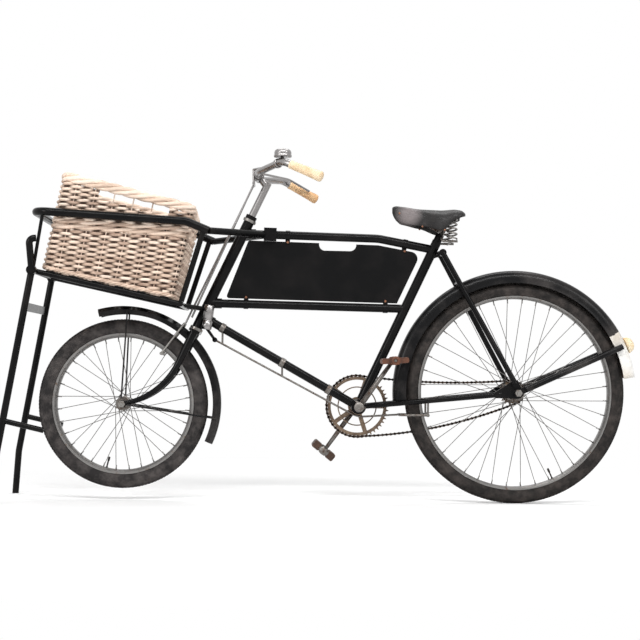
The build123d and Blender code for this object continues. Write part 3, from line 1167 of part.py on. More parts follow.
plate_in = RING_THICKNESS / 2 + CHAIN_GAP
with BuildPart() as chain:
    for _, side in SIDES:
        with BuildSketch(side_plane(CHAIN_LINE + side * (plate_in + CHAIN_PLATE / 2))):
            chain_loop(CHAIN_HALF_HEIGHT)
        extrude(amount=CHAIN_PLATE / 2, both=True)
        with BuildSketch(side_plane(CHAIN_LINE + side * (plate_in + CHAIN_PLATE / 2))):
            chain_loop(-CHAIN_HALF_HEIGHT)
        extrude(amount=CHAIN_PLATE / 2, both=True, mode=Mode.SUBTRACT)
    # Rollers on the two straight runs tie the side plates together.
    drive = REAR_AXLE - BB
    lean = sprocket_r - ring_r
    for way in (1, -1):
        along = drive.normalized()
        across = Vector(-along.Z, 0, along.X) * way
        tilt_share = lean / drive.length
        normal = across * sqrt(1 - tilt_share ** 2) - along * tilt_share
        start, end = BB + normal * ring_r, REAR_AXLE + normal * sprocket_r
        pins = int((end - start).length // (2 * CHAIN_PITCH)) - 2
        for pin in range(1, pins):
            place = between(start, end, (pin + 1) / (pins + 2))
            rod(place + Vector(0, CHAIN_LINE - plate_in - CHAIN_PLATE, 0),
                place + Vector(0, CHAIN_LINE + plate_in + CHAIN_PLATE, 0), CHAIN_PIN_R)
save(chain, "chain")

# Rear rod brake: the rod under the down tube and below the bottom bracket, then the stirrup
REAR_ROD_ROUTE = [(903.0, 480.0), (530.0, 284.0), (471.0, 254.0), (352.0, 262.0)]  # forward, height
down_run = (BB - down_root).normalized()
with BuildPart() as rear_brake_rod:
    bent_tube([at(forward, 0, height) for forward, height in REAR_ROD_ROUTE], REAR_ROD_BEND_R, BRAKE_ROD_R)
    for forward in ROD_CLIPS:
        place = down_root + down_run * ((REAR_X - forward - down_root.X) / down_run.X)
        rod_start, rod_end = (at(f, 0, h) for f, h in REAR_ROD_ROUTE[:2])
        drop = between(rod_start, rod_end, (REAR_ROD_ROUTE[0][0] - forward) /
                       (REAR_ROD_ROUTE[0][0] - REAR_ROD_ROUTE[1][0]))
        rod(place - down_run * CLIP_WIDTH / 2, place + down_run * CLIP_WIDTH / 2, TUBE_R + SEAT_GAP + CLIP_WALL)
        rod(place, drop, BRAKE_ROD_R)
    rod(down_root, BB, TUBE_R + SEAT_GAP, Mode.SUBTRACT)
save(rear_brake_rod, "rear_brake_rod")

yoke_at = at(REAR_ROD_ROUTE[-1][0] - SEAT_GAP - STIRRUP_R, 0, REAR_ROD_ROUTE[-1][1])
rear_rim_r = REAR_TYRE_R - REAR_TYRE_DEPTH - REAR_RIM_DEPTH
shoe_drop = REAR_AXLE.Z - yoke_at.Z
shoe_forward = sqrt((rear_rim_r - SHOE_GAP - SHOE_R) ** 2 - shoe_drop ** 2)
rear_shoe = at(shoe_forward, 0, yoke_at.Z)
stay_share = (BB_FORWARD - shoe_forward) / BB_FORWARD
with BuildPart() as rear_brake:
    half = Vector(0, STIRRUP_HALF, 0)
    bent_tube([rear_shoe - half, yoke_at - half, yoke_at + half, rear_shoe + half], STIRRUP_BEND_R, STIRRUP_R)
    for _, side in SIDES:
        rod(rear_shoe + Vector(0, side * (STIRRUP_HALF + SHOE_R), 0), rear_shoe + Vector(0, side * SHOE_INNER, 0),
            SHOE_R)
        stay_root = BB + Vector(0, side * CHAIN_STAY_SIDE, 0)
        stay_tip = REAR_AXLE + Vector(0, side * dropout_mid, 0)
        rod(rear_shoe + Vector(0, side * STIRRUP_HALF, 0), between(stay_root, stay_tip, stay_share), BRAKE_ROD_R)
        rod(stay_root, stay_tip, STAY_R + SEAT_GAP, Mode.SUBTRACT)
save(rear_brake, "rear_brake")
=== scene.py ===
import math
from collections import namedtuple

import bmesh
import bpy
from mathutils import Matrix, Vector


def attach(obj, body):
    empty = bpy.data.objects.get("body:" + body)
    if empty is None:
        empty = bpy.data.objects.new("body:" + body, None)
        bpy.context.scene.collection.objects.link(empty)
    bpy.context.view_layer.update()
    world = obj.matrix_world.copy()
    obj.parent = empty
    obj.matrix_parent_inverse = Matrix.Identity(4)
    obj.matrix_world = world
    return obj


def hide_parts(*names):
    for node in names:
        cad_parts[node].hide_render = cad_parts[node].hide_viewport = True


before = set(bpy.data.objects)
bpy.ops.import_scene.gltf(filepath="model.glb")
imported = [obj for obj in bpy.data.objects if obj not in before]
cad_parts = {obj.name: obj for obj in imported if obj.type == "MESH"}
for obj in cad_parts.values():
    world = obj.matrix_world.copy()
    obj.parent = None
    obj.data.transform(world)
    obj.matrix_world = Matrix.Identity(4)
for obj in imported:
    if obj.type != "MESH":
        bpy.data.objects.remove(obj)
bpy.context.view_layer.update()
scene = bpy.context.scene
scene.view_settings.view_transform = "Standard"

# Pieces are drawn in millimetres, in the frame of the solids, and scaled to metres in piece().
# "Forward" is a distance ahead of the rear axle, "height" a distance above the ground.
REAR_X = 582.0
REAR_AXLE = Vector((REAR_X, 0, 332))
FRONT_AXLE = Vector((REAR_X - 1172, 0, 286.6))
BRACKET = Vector((REAR_X - 471, 0, 285))
SIDES = (("left", -1), ("right", 1))
ACROSS = Vector((0, 1, 0))
UP = Vector((0, 0, 1))


def at(forward, side, height):
    return Vector((REAR_X - forward, side, height))


def colour(red, green, blue):
    """A colour as it looks on screen, 0 to 255, for a shader socket."""
    return tuple(((c / 255 + 0.055) / 1.055) ** 2.4 for c in (red, green, blue)) + (1.0,)


BLACK = (0, 0, 0, 1)
WHITE = (1, 1, 1, 1)


# Nodes

def add(tree, kind, sockets=None, **settings):
    """A node with its settings; its sockets are set to values or joined to other nodes' outputs."""
    node = tree.nodes.new(kind)
    for key, value in settings.items():
        setattr(node, key, value)
    for key, value in (sockets or {}).items():
        value = getattr(value, "socket", value)
        if isinstance(value, bpy.types.NodeSocket):
            tree.links.new(value, node.inputs[key])
        else:
            node.inputs[key].default_value = value
    return node


def finish(name, plain):
    """A material with these plain values on its shader."""
    material = bpy.data.materials.new(name)
    material.use_nodes = True
    shader = material.node_tree.nodes["Principled BSDF"]
    for key, value in plain.items():
        shader.inputs[key].default_value = value
    return material, material.node_tree, shader


def place(tree):
    return add(tree, "ShaderNodeTexCoord").outputs["Object"]


def cloud(tree, scale, detail=4.0, stretch=(1, 1, 1), rough=0.55):
    """A cloudy pattern between 0 and 1."""
    spot = add(tree, "ShaderNodeMapping", {"Vector": place(tree), "Scale": stretch})
    sockets = {"Vector": spot.outputs["Vector"], "Scale": scale, "Detail": detail, "Roughness": rough}
    return add(tree, "ShaderNodeTexNoise", sockets).outputs[0]


def calc(tree, operation, *values):
    return add(tree, "ShaderNodeMath", dict(enumerate(values)), operation=operation).outputs[0]


def ramp(tree, value, *stops):
    """Colours by a value: (place, colour) stops."""
    node = add(tree, "ShaderNodeValToRGB", {"Fac": value})
    elements = node.color_ramp.elements
    while len(elements) < len(stops):
        elements.new(0.5)
    for element, (spot, shade) in zip(elements, stops):
        element.position = spot
        element.color = shade
    return node.outputs["Color"]


def spots(tree, pattern, low, high):
    """Black below one value of a pattern, white above another."""
    return ramp(tree, pattern, (low, BLACK), (high, WHITE))


def weighed(tree, pattern, weight, other):
    """A pattern times its weight, added to another."""
    return calc(tree, "ADD", calc(tree, "MULTIPLY", pattern, weight), other)


def between(tree, value, low, high):
    """A 0 to 1 pattern as a number from low to high."""
    return add(tree, "ShaderNodeMapRange", {"Value": value, "To Min": low, "To Max": high}).outputs["Result"]


def mixed(tree, share, first, second):
    return add(tree, "ShaderNodeMix", {0: share, 6: first, 7: second}, data_type="RGBA").outputs[2]


def wire(tree, shader, **outputs):
    """Joins patterns to the shader: tint, rough or metal."""
    names = {"tint": "Base Color", "rough": "Roughness", "metal": "Metallic"}
    for key, output in outputs.items():
        tree.links.new(output, shader.inputs[names[key]])


def relief(tree, shader, height, strength, depth):
    bump = add(tree, "ShaderNodeBump", {"Height": height, "Strength": strength, "Distance": depth})
    tree.links.new(bump.outputs["Normal"], shader.inputs["Normal"])


def radius_from(tree, centre):
    """The distance in metres and the angle from a Y line through a point in mm."""
    spot = add(tree, "ShaderNodeSeparateXYZ", {0: place(tree)}).outputs
    east = calc(tree, "SUBTRACT", spot["X"], centre.x / 1000)
    rise = calc(tree, "SUBTRACT", spot["Z"], centre.z / 1000)
    square = weighed(tree, east, east, calc(tree, "MULTIPLY", rise, rise))
    return calc(tree, "SQRT", square), calc(tree, "ARCTAN2", rise, east)


# Finishes

def enamel(name, base, dust, chip, gloss, wear, tail=None):
    """Black stove enamel: dulled in clouds, with small chips down to brown metal; a tail is painted white."""
    material, tree, shader = finish(name, {"Specular IOR Level": 0.11})
    dulled = cloud(tree, 11, 5)
    chips = spots(tree, cloud(tree, 85, 6, rough=0.7), 0.71 - wear, 0.76 - wear)
    tint = mixed(tree, spots(tree, dulled, 0.45, 0.75), base, dust)
    if tail:
        centre, low, high = tail
        ragged = calc(tree, "SUBTRACT", cloud(tree, 60, 4), 0.5)
        angle = weighed(tree, ragged, 0.05, radius_from(tree, centre)[1])
        painted = calc(tree, "MULTIPLY", calc(tree, "LESS_THAN", angle, math.radians(high)),
                       calc(tree, "GREATER_THAN", angle, math.radians(low)))
        dirty = mixed(tree, spots(tree, dulled, 0.45, 0.85), colour(226, 225, 222), colour(188, 176, 160))
        tint = mixed(tree, painted, tint, dirty)
    wire(tree, shader, tint=mixed(tree, chips, tint, chip),
         rough=between(tree, cloud(tree, 34, 5), gloss - 0.04, gloss + 0.12))
    relief(tree, shader, weighed(tree, chips, -0.6, cloud(tree, 240, 2)), 0.12, 0.0006)
    return material


def plated(name, bright, stain, wear, gloss):
    """Old nickel or chrome plate with brown pits."""
    material, tree, shader = finish(name, {"Metallic": 1.0})
    pits = spots(tree, cloud(tree, 60, 6, rough=0.7), 0.62 - wear, 0.8 - wear)
    tint = mixed(tree, cloud(tree, 14, 4), bright, tuple(c * 0.72 for c in bright[:3]) + (1,))
    wire(tree, shader, tint=mixed(tree, pits, tint, stain),
         rough=between(tree, cloud(tree, 40, 5), gloss - 0.06, gloss + 0.2))
    relief(tree, shader, cloud(tree, 420, 3), 0.1, 0.0003)
    return material


def rusted(name, metal, rust, crust, share):
    """Bare steel gone brown, with darker crust and paler rubbed spots."""
    material, tree, shader = finish(name, {"Metallic": 0.35})
    wide = cloud(tree, 26, 6, rough=0.65)
    tint = ramp(tree, wide, (0.3, crust), (0.48 + share, rust), (0.72 + share, metal))
    grit = cloud(tree, 300, 4, rough=0.7)
    wire(tree, shader, tint=mixed(tree, between(tree, grit, 0.0, 0.5), tint, crust),
         rough=between(tree, wide, 0.75, 0.42))
    relief(tree, shader, grit, 0.35, 0.0008)
    return material


def rubber(name, centre, base, dust):
    """Tyre rubber with moulded rings on its walls and dust in the hollows."""
    material, tree, shader = finish(name, {"Specular IOR Level": 0.16})
    reach = radius_from(tree, centre)[0]
    rings = calc(tree, "SINE", calc(tree, "MULTIPLY", reach, 2600.0))
    dusty = spots(tree, cloud(tree, 30, 6, rough=0.65), 0.4, 0.75)
    scuffs = cloud(tree, 170, 3)
    wire(tree, shader, tint=mixed(tree, dusty, base, dust), rough=between(tree, scuffs, 0.55, 0.85))
    relief(tree, shader, weighed(tree, rings, 0.25, scuffs), 0.3, 0.0006)
    return material


def willow(name):
    """Peeled willow rods: each rod its own tone, streaked, grey with weather, with painted shade in dark
    brown where a rod passes inward behind a stake.
    """
    material, tree, shader = finish(name, {"Specular IOR Level": 0.2})
    tone = add(tree, "ShaderNodeAttribute", attribute_name="tone").outputs["Fac"]
    recess_shade_share = add(tree, "ShaderNodeAttribute", attribute_name="recess_shade_share").outputs["Fac"]
    streak = cloud(tree, 60, 5, (1, 1, 3.5))
    shade = weighed(tree, tone, 0.5, calc(tree, "MULTIPLY", streak, 0.5))
    tint = ramp(tree, shade, (0.2, colour(152, 126, 110)), (0.4, colour(206, 181, 162)),
                (0.6, colour(227, 205, 187)), (0.85, colour(243, 226, 211)))
    grey = ramp(tree, cloud(tree, 16, 4), (0.45, BLACK), (0.75, (0.5, 0.5, 0.5, 1)))
    aged = mixed(tree, grey, tint, colour(168, 146, 130))
    # Painted shade: dark brown where a rod passes inward behind a stake
    painted_shade = ramp(tree, recess_shade_share, (0.1, BLACK), (0.75, (0.93, 0.93, 0.93, 1)))
    shaded_tint = mixed(tree, painted_shade, aged, colour(48, 30, 22))
    wire(tree, shader, tint=shaded_tint, rough=between(tree, streak, 0.5, 0.8))
    relief(tree, shader, cloud(tree, 420, 3, (1, 1, 2.5)), 0.3, 0.0005)
    return material


# The middle of the painted sheen on the saddle
SHINE_SPOT = Vector((256.0, 0.0, 862.0))  # on the flaps, behind the saddle's nose


def hide(name):
    """Black saddle leather: pored, creased, rubbed paler in clouds, with a painted sheen on the flaps behind
    the nose.
    """
    material, tree, shader = finish(name, {"Specular IOR Level": 0.3})
    pores = add(tree, "ShaderNodeTexVoronoi", {"Vector": place(tree), "Scale": 620.0}).outputs["Distance"]
    creases = cloud(tree, 48, 6, (0.6, 1.4, 1.0), 0.7)
    rubbed = ramp(tree, cloud(tree, 22, 4), (0.52, BLACK), (0.85, (0.7, 0.7, 0.7, 1)))
    reach = radius_from(tree, SHINE_SPOT)[0]
    # Painted sheen: a paler grey patch round the sheen spot
    painted_sheen = ramp(tree, reach, (0.016, (0.8, 0.8, 0.8, 1)), (0.042, BLACK))
    worn = mixed(tree, rubbed, colour(20, 18, 18), colour(52, 47, 46))
    wire(tree, shader, tint=mixed(tree, painted_sheen, worn, colour(124, 116, 116)),
         rough=between(tree, creases, 0.28, 0.6))
    relief(tree, shader, weighed(tree, pores, 0.5, creases), 0.35, 0.0009)
    return material


def handled(name, base, worn, grime):
    """A hand-worn cream or brown moulded piece with grime in its hollows."""
    material, tree, shader = finish(name, {"Specular IOR Level": 0.4})
    rubbed = cloud(tree, 30, 5)
    specks = spots(tree, cloud(tree, 70, 4, rough=0.6), 0.68, 0.8)
    tint = mixed(tree, spots(tree, rubbed, 0.4, 0.7), base, worn)
    wire(tree, shader, tint=mixed(tree, specks, tint, grime), rough=between(tree, rubbed, 0.35, 0.65))
    relief(tree, shader, cloud(tree, 260, 2), 0.06, 0.0003)
    return material


ENAMEL_BLACK = colour(9, 9, 10)
GUARD_BLACK = colour(16, 16, 17)
GUARD_DUST = colour(58, 55, 54)
RUST_BROWN = colour(92, 62, 44)
WHITE_TAIL = (REAR_AXLE, -60.0, 31.0)  # centre, and the degrees between which the guard is white
FINISHES = {
    "frame_paint": enamel("frame_enamel", ENAMEL_BLACK, colour(24, 22, 22), RUST_BROWN, 0.17, 0.0),
    "carrier_paint": enamel("carrier_enamel", ENAMEL_BLACK, colour(26, 24, 23), RUST_BROWN, 0.16, 0.015),
    "guard_paint": enamel("guard_enamel", GUARD_BLACK, GUARD_DUST, RUST_BROWN, 0.2, 0.01),
    "white_tail": enamel("white_tail_enamel", GUARD_BLACK, GUARD_DUST, RUST_BROWN, 0.2, 0.02, WHITE_TAIL),
    "panel_paint": enamel("panel_enamel", ENAMEL_BLACK, colour(22, 20, 20), colour(62, 52, 46), 0.3, -0.01),
    "worn_steel": plated("worn_plate", colour(150, 147, 143), colour(94, 70, 53), 0.08, 0.3),
    "crank_steel": plated("crank_plate", colour(126, 122, 118), colour(72, 55, 44), 0.14, 0.34),
    "bell_steel": plated("bell_plate", colour(158, 155, 154), colour(98, 78, 62), 0.02, 0.2),
    "rim_steel": plated("rim_plate", colour(140, 138, 136), colour(94, 74, 60), 0.07, 0.36),
    "spoke_steel": plated("spoke_plate", colour(112, 110, 108), colour(76, 62, 52), 0.08, 0.36),
    "saddle_hide": hide("saddle_hide"),
    "willow": willow("willow"),
    "rear_rubber": rubber("rear_rubber", REAR_AXLE, colour(30, 28, 27), colour(66, 60, 57)),
    "front_rubber": rubber("front_rubber", FRONT_AXLE, colour(36, 34, 34), colour(82, 77, 75)),
}
RUSTED = [  # slot or look, material, bare metal, rust, crust, share of rust
    ("drive_steel", "rusted_ring", (156, 137, 114), (120, 101, 84), (66, 53, 45), 0.0),
    ("chain_steel", "rusted_chain", (104, 84, 66), (70, 54, 42), (32, 25, 21), 0.04),
    ("pedal_rubber", "pedal_rubber", (128, 96, 72), (84, 60, 46), (34, 27, 24), 0.08),
    ("rusty_pedal", "rusty_pedal", (138, 88, 62), (106, 64, 44), (56, 37, 29), 0.04),
    ("guard_inside", "guard_inside", (122, 74, 48), (70, 44, 32), (22, 18, 16), 0.1),
    ("copper", "copper_bolts", (190, 136, 100), (146, 96, 68), (84, 56, 42), 0.0),
]
for look, name, metal, rust, crust, share in RUSTED:
    FINISHES[look] = rusted(name, colour(*metal), colour(*rust), colour(*crust), share)
HANDLED = [  # slot or look, material, own colour, worn, grime
    ("grip_plastic", "cream_grips", (222, 200, 168), (206, 174, 134), (136, 100, 70)),
    ("lamp_lens", "lamp_lens", (228, 214, 186), (214, 176, 118), (118, 88, 60)),
    ("old_grip", "browned_grip", (228, 192, 148), (196, 142, 92), (116, 72, 44)),
]
for look, name, base, worn, grime in HANDLED:
    FINISHES[look] = handled(name, colour(*base), colour(*worn), colour(*grime))

# The finish of each solid that still shows
SOLID_FINISHES = {
    "frame_paint": "head_tube top_tube panel_tube down_tube seat_tube bottom_bracket chain_stays seat_stays"
                   " stay_bridges fork_crown fork_blades panel_clips carrier_clamp seat_post",
    "carrier_paint": "carrier_platform carrier_rail carrier_uprights carrier_arms carrier_bracket"
                     " stand_legs stand_rung",
    "guard_paint": "front_mudguard front_guard_stays guard_stays",
    "white_tail": "rear_mudguard",
    "panel_paint": "sign_panel",
    "worn_steel": "headset_cups rear_axle front_axle front_brake",
    "crank_steel": "rear_brake_rod rear_brake crank_axle left_crank right_crank front_hub rear_hub"
                   " saddle_frame saddle_springs",
    "bell_steel": "bell brake_levers stem handlebar",
    "rim_steel": "front_rim rear_rim",
    "spoke_steel": "front_spokes rear_spokes",
    "drive_steel": "chainring rear_sprocket",
    "chain_steel": "chain",
    "rear_rubber": "rear_tyre",
    "front_rubber": "front_tyre",
    "pedal_rubber": "left_pedal right_pedal",
    "grip_plastic": "grips",
    "saddle_hide": "saddle_leather",
    "willow": "basket",
    "lamp_lens": "tail_reflector",
}
for look, names in SOLID_FINISHES.items():
    for name in names.split():
        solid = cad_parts[name]
        solid.data.materials.clear()
        solid.data.materials.append(FINISHES[look])


# Making pieces

def shown(name, data):
    """An object in the scene."""
    thing = bpy.data.objects.new(name, data)
    scene.collection.objects.link(thing)
    return thing


def piece(name, mesh, body, slot, *replaced, look=None):
    """A finished piece: scaled to metres, riding on a body, standing for the named solids."""
    mesh.transform(Matrix.Scale(0.001, 4))
    if not mesh.materials:
        mesh.materials.append(FINISHES[look or slot])
    made = shown(name, mesh)
    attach(made, body)
    if replaced:
        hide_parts(*replaced)
    return made


def spoke(angle):
    """The direction at an angle round a wheel, from the rear upwards."""
    return Vector((math.cos(angle), 0, math.sin(angle)))


def frame_at(origin, x_way, y_way, z_way):
    """The place of something drawn along three directions of its own."""
    return Matrix.Translation(origin) @ Matrix((x_way, y_way, z_way)).transposed().to_4x4()


def as_mesh(shape, name, smooth=True):
    """A drawn shape as a mesh: doubles merged, faces outwards."""
    bmesh.ops.remove_doubles(shape, verts=shape.verts, dist=0.001)
    bmesh.ops.recalc_face_normals(shape, faces=shape.faces)
    for face in shape.faces:
        face.smooth = smooth
    mesh = bpy.data.meshes.new(name)
    shape.to_mesh(mesh)
    shape.free()
    return mesh


def turn_into(shape, profile, centre, axis, steps, closed=False):
    """Adds a profile of (radius, along) corners turned about an axis."""
    across = axis.orthogonal().normalized()
    ring = [shape.verts.new(centre + axis * along + across * radius) for radius, along in profile]
    pairs = list(zip(ring, ring[1:])) + ([(ring[-1], ring[0])] if closed else [])
    edges = [shape.edges.new(pair) for pair in pairs]
    bmesh.ops.spin(shape, geom=ring + edges, cent=centre, axis=axis, angle=math.tau, steps=steps)


def turned(name, *turnings):
    """A mesh of profiles, each turned about its axis."""
    shape = bmesh.new()
    for turning in turnings:
        turn_into(shape, *turning)
    return as_mesh(shape, name)


def push_out(shape, outline, place_of, low, high):
    """Adds a prism: an outline of (x, z) corners, from low to high along its y."""
    ends = [[shape.verts.new(place_of @ Vector((x, y, z))) for x, z in outline] for y in (low, high)]
    shape.faces.new(ends[0])
    shape.faces.new(reversed(ends[1]))
    for here in range(len(outline)):
        there = (here + 1) % len(outline)
        shape.faces.new((ends[0][there], ends[0][here], ends[1][here], ends[1][there]))


class Output:
    """A node's output; arithmetic with it adds nodes to its tree."""

    def __init__(self, socket):
        self.socket = socket

    def calc(self, operation, *others):
        return Output(calc(self.socket.id_data, operation, self, *others))

    def __add__(self, other):
        return self.calc("ADD", other)

    def __sub__(self, other):
        return self.calc("SUBTRACT", other)

    def __mul__(self, other):
        return self.calc("MULTIPLY", other)

    def __truediv__(self, other):
        return self.calc("DIVIDE", other)

    def above(self, limit):
        return self.calc("GREATER_THAN", limit)

    def below(self, limit):
        return self.calc("LESS_THAN", limit)


class Recipe:
    """A geometry tree with named inputs for its sizes."""

    def __init__(self, name, floats="", ints="", vectors=""):
        self.tree = bpy.data.node_groups.new(name, "GeometryNodeTree")
        face = self.tree.interface
        face.new_socket("Geometry", in_out="OUTPUT", socket_type="NodeSocketGeometry")
        face.new_socket("points", in_out="INPUT", socket_type="NodeSocketGeometry")
        for kind, labels in (("Float", floats), ("Int", ints), ("Vector", vectors)):
            for label in labels.split():
                face.new_socket(label, in_out="INPUT", socket_type=f"NodeSocket{kind}")
        face.new_socket("finish", in_out="INPUT", socket_type="NodeSocketMaterial")
        inputs = self.tree.nodes.new("NodeGroupInput").outputs
        self.given = {socket.name: Output(socket) for socket in inputs}

    def node(self, kind, sockets=None, out=0, **settings):
        return Output(add(self.tree, kind, sockets, **settings).outputs[out])

    def vector(self, operation, *values, out=0):
        return self.node("ShaderNodeVectorMath", dict(enumerate(values)), out, operation=operation)

    def scaled(self, vector, size):
        return self.node("ShaderNodeVectorMath", {0: vector, "Scale": size}, operation="SCALE")

    def xyz(self, x, y, z):
        return self.node("ShaderNodeCombineXYZ", {0: x, 1: y, 2: z})

    def split(self, vector):
        outputs = add(self.tree, "ShaderNodeSeparateXYZ", {0: vector}).outputs
        return [Output(socket) for socket in outputs]

    def position(self):
        return self.node("GeometryNodeInputPosition")

    def share(self):
        """How far along its own curve a point is, 0 to 1."""
        return self.node("GeometryNodeSplineParameter")

    def outward(self, position):
        """The level direction away from the middle of a loop."""
        tangent = self.node("GeometryNodeInputTangent")
        aside = self.vector("NORMALIZE", self.vector("CROSS_PRODUCT", tangent, (0, 0, 1)))
        return self.scaled(aside, self.vector("DOT_PRODUCT", aside, position, out=1).calc("SIGN"))

    def loop(self, count):
        """A rounded rectangle with that many points, by the inputs length, width and corner."""
        given = self.given
        plan = {"Width": given["length"], "Height": given["width"]}
        sharp = self.node("GeometryNodeCurvePrimitiveQuadrilateral", plan)
        corner = {"Curve": sharp, "Count": 8, "Radius": given["corner"]}
        return self.resampled(self.node("GeometryNodeFilletCurve", corner, mode="POLY"), count)

    def resampled(self, curve, count):
        return self.node("GeometryNodeResampleCurve", {"Curve": curve, "Count": count}, mode="COUNT")

    def row(self, count, step):
        return self.node("GeometryNodeMeshLine", {"Count": count, "Offset": step})

    def copies(self, points, shape, **more):
        return self.node("GeometryNodeInstanceOnPoints", {"Points": points, "Instance": shape, **more})

    def real(self, copies):
        return self.node("GeometryNodeRealizeInstances", {"Geometry": copies})

    def stacked(self, shape, count, step):
        """Copies of a shape one above the other."""
        return self.real(self.copies(self.row(count, self.xyz(0.0, 0.0, step)), shape))

    def moved(self, geometry, **where):
        return self.node("GeometryNodeSetPosition", {"Geometry": geometry, **where})

    def laid(self, geometry, **where):
        return self.node("GeometryNodeTransform", {"Geometry": geometry, **where})

    def line(self, start, end):
        return self.node("GeometryNodeCurvePrimitiveLine", {"Start": start, "End": end})

    def cylinder(self, sides, radius, depth):
        return self.node("GeometryNodeMeshCylinder", {"Vertices": sides, "Radius": radius, "Depth": depth})

    def tubes(self, curves, radius, sides):
        section = self.node("GeometryNodeCurvePrimitiveCircle", {"Resolution": sides, "Radius": radius})
        return self.node("GeometryNodeCurveToMesh", {"Curve": curves, "Profile Curve": section,
                                                     "Fill Caps": True})

    def joined(self, parts):
        join = self.tree.nodes.new("GeometryNodeJoinGeometry")
        for part in parts:
            self.tree.links.new(part.socket, join.inputs["Geometry"])
        return Output(join.outputs["Geometry"])

    def keep(self, geometry, label, value, domain="POINT"):
        """Stores a number on each point or curve."""
        stored = {"Geometry": geometry, "Name": label, "Value": value}
        return self.node("GeometryNodeStoreNamedAttribute", stored, data_type="FLOAT", domain=domain)

    def kept(self, label):
        return self.node("GeometryNodeInputNamedAttribute", {"Name": label}, data_type="FLOAT")

    def toned(self, curves, seed):
        """Gives each rod a tone of its own."""
        random = self.node("FunctionNodeRandomValue", {"Seed": seed}, out=1, data_type="FLOAT")
        return self.keep(curves, "tone", random, "CURVE")

    def close(self, geometry, smooth=True):
        shaded = self.node("GeometryNodeSetShadeSmooth", {"Geometry": self.real(geometry),
                                                          "Shade Smooth": smooth})
        coated = self.node("GeometryNodeSetMaterial", {"Geometry": shaded, "Material": self.given["finish"]})
        add(self.tree, "NodeGroupOutput", {"Geometry": coated})

    def make(self, name, look, points=None, **values):
        """The plain mesh that the tree gives with these sizes."""
        holder = shown(name, points or bpy.data.meshes.new(name))
        modifier = holder.modifiers.new("recipe", "NODES")
        modifier.node_group = self.tree
        items = self.tree.interface.items_tree
        keys = {item.name: item.identifier for item in items if item.in_out == "INPUT"}
        for label, value in values.items():
            modifier[keys[label]] = value
        modifier[keys["finish"]] = FINISHES[look]
        seen = holder.evaluated_get(bpy.context.evaluated_depsgraph_get())
        mesh = bpy.data.meshes.new_from_object(seen)
        bpy.data.objects.remove(holder)
        return mesh


def dots(name, places, **numbers):
    """A mesh of loose points that carry numbers."""
    mesh = bpy.data.meshes.new(name)
    mesh.from_pydata([tuple(p) for p in places], [], [])
    for label, values in numbers.items():
        mesh.attributes.new(label, "FLOAT", "POINT").data.foreach_set("value", values)
    return mesh


# Willow basket on the carrier: randing on stakes, a thick waled band, a rolled border and a foot
TRAY_TILT = math.radians(12.0)
TRAY_AHEAD = Vector((-math.cos(TRAY_TILT), 0, math.sin(TRAY_TILT)))
TRAY_UP = Vector((math.sin(TRAY_TILT), 0, math.cos(TRAY_TILT)))
TRAY_REAR = at(997, 0, 580)
BASKET_BASE = TRAY_REAR + TRAY_AHEAD * 218 + TRAY_UP * 10.3
BASKET_FRAME = frame_at(BASKET_BASE, TRAY_AHEAD, -ACROSS, TRAY_UP)
BASKET_PLAN = {"length": 380.0, "width": 312.0, "corner": 24.0}
BASKET_FLARE = math.tan(math.radians(0.4))
RIM_LEAN = -math.tan(math.radians(1.6))  # the rim rises a little towards the front
RIM_ROLL = 17 / 312  # and stands higher on the left
RIM_HEIGHT = 263.0
ROW_LEAN = math.tan(math.radians(8.7))  # the rows lie level with the carrier's rail
STAKES = 48
BAND_MIDDLE = 167.0
BAND_HALF = 15.0
BAND_ROPE_APART = 7.8
HOLD_FROM_MIDDLE = 120.0  # the hand-holds are cut only in the long sides, farther out than this


def rim_rise(given, x, y):
    """How much higher the rim stands at a place than over the middle of the basket."""
    return y * given["rim_roll"] - x * given["rim_lean"]


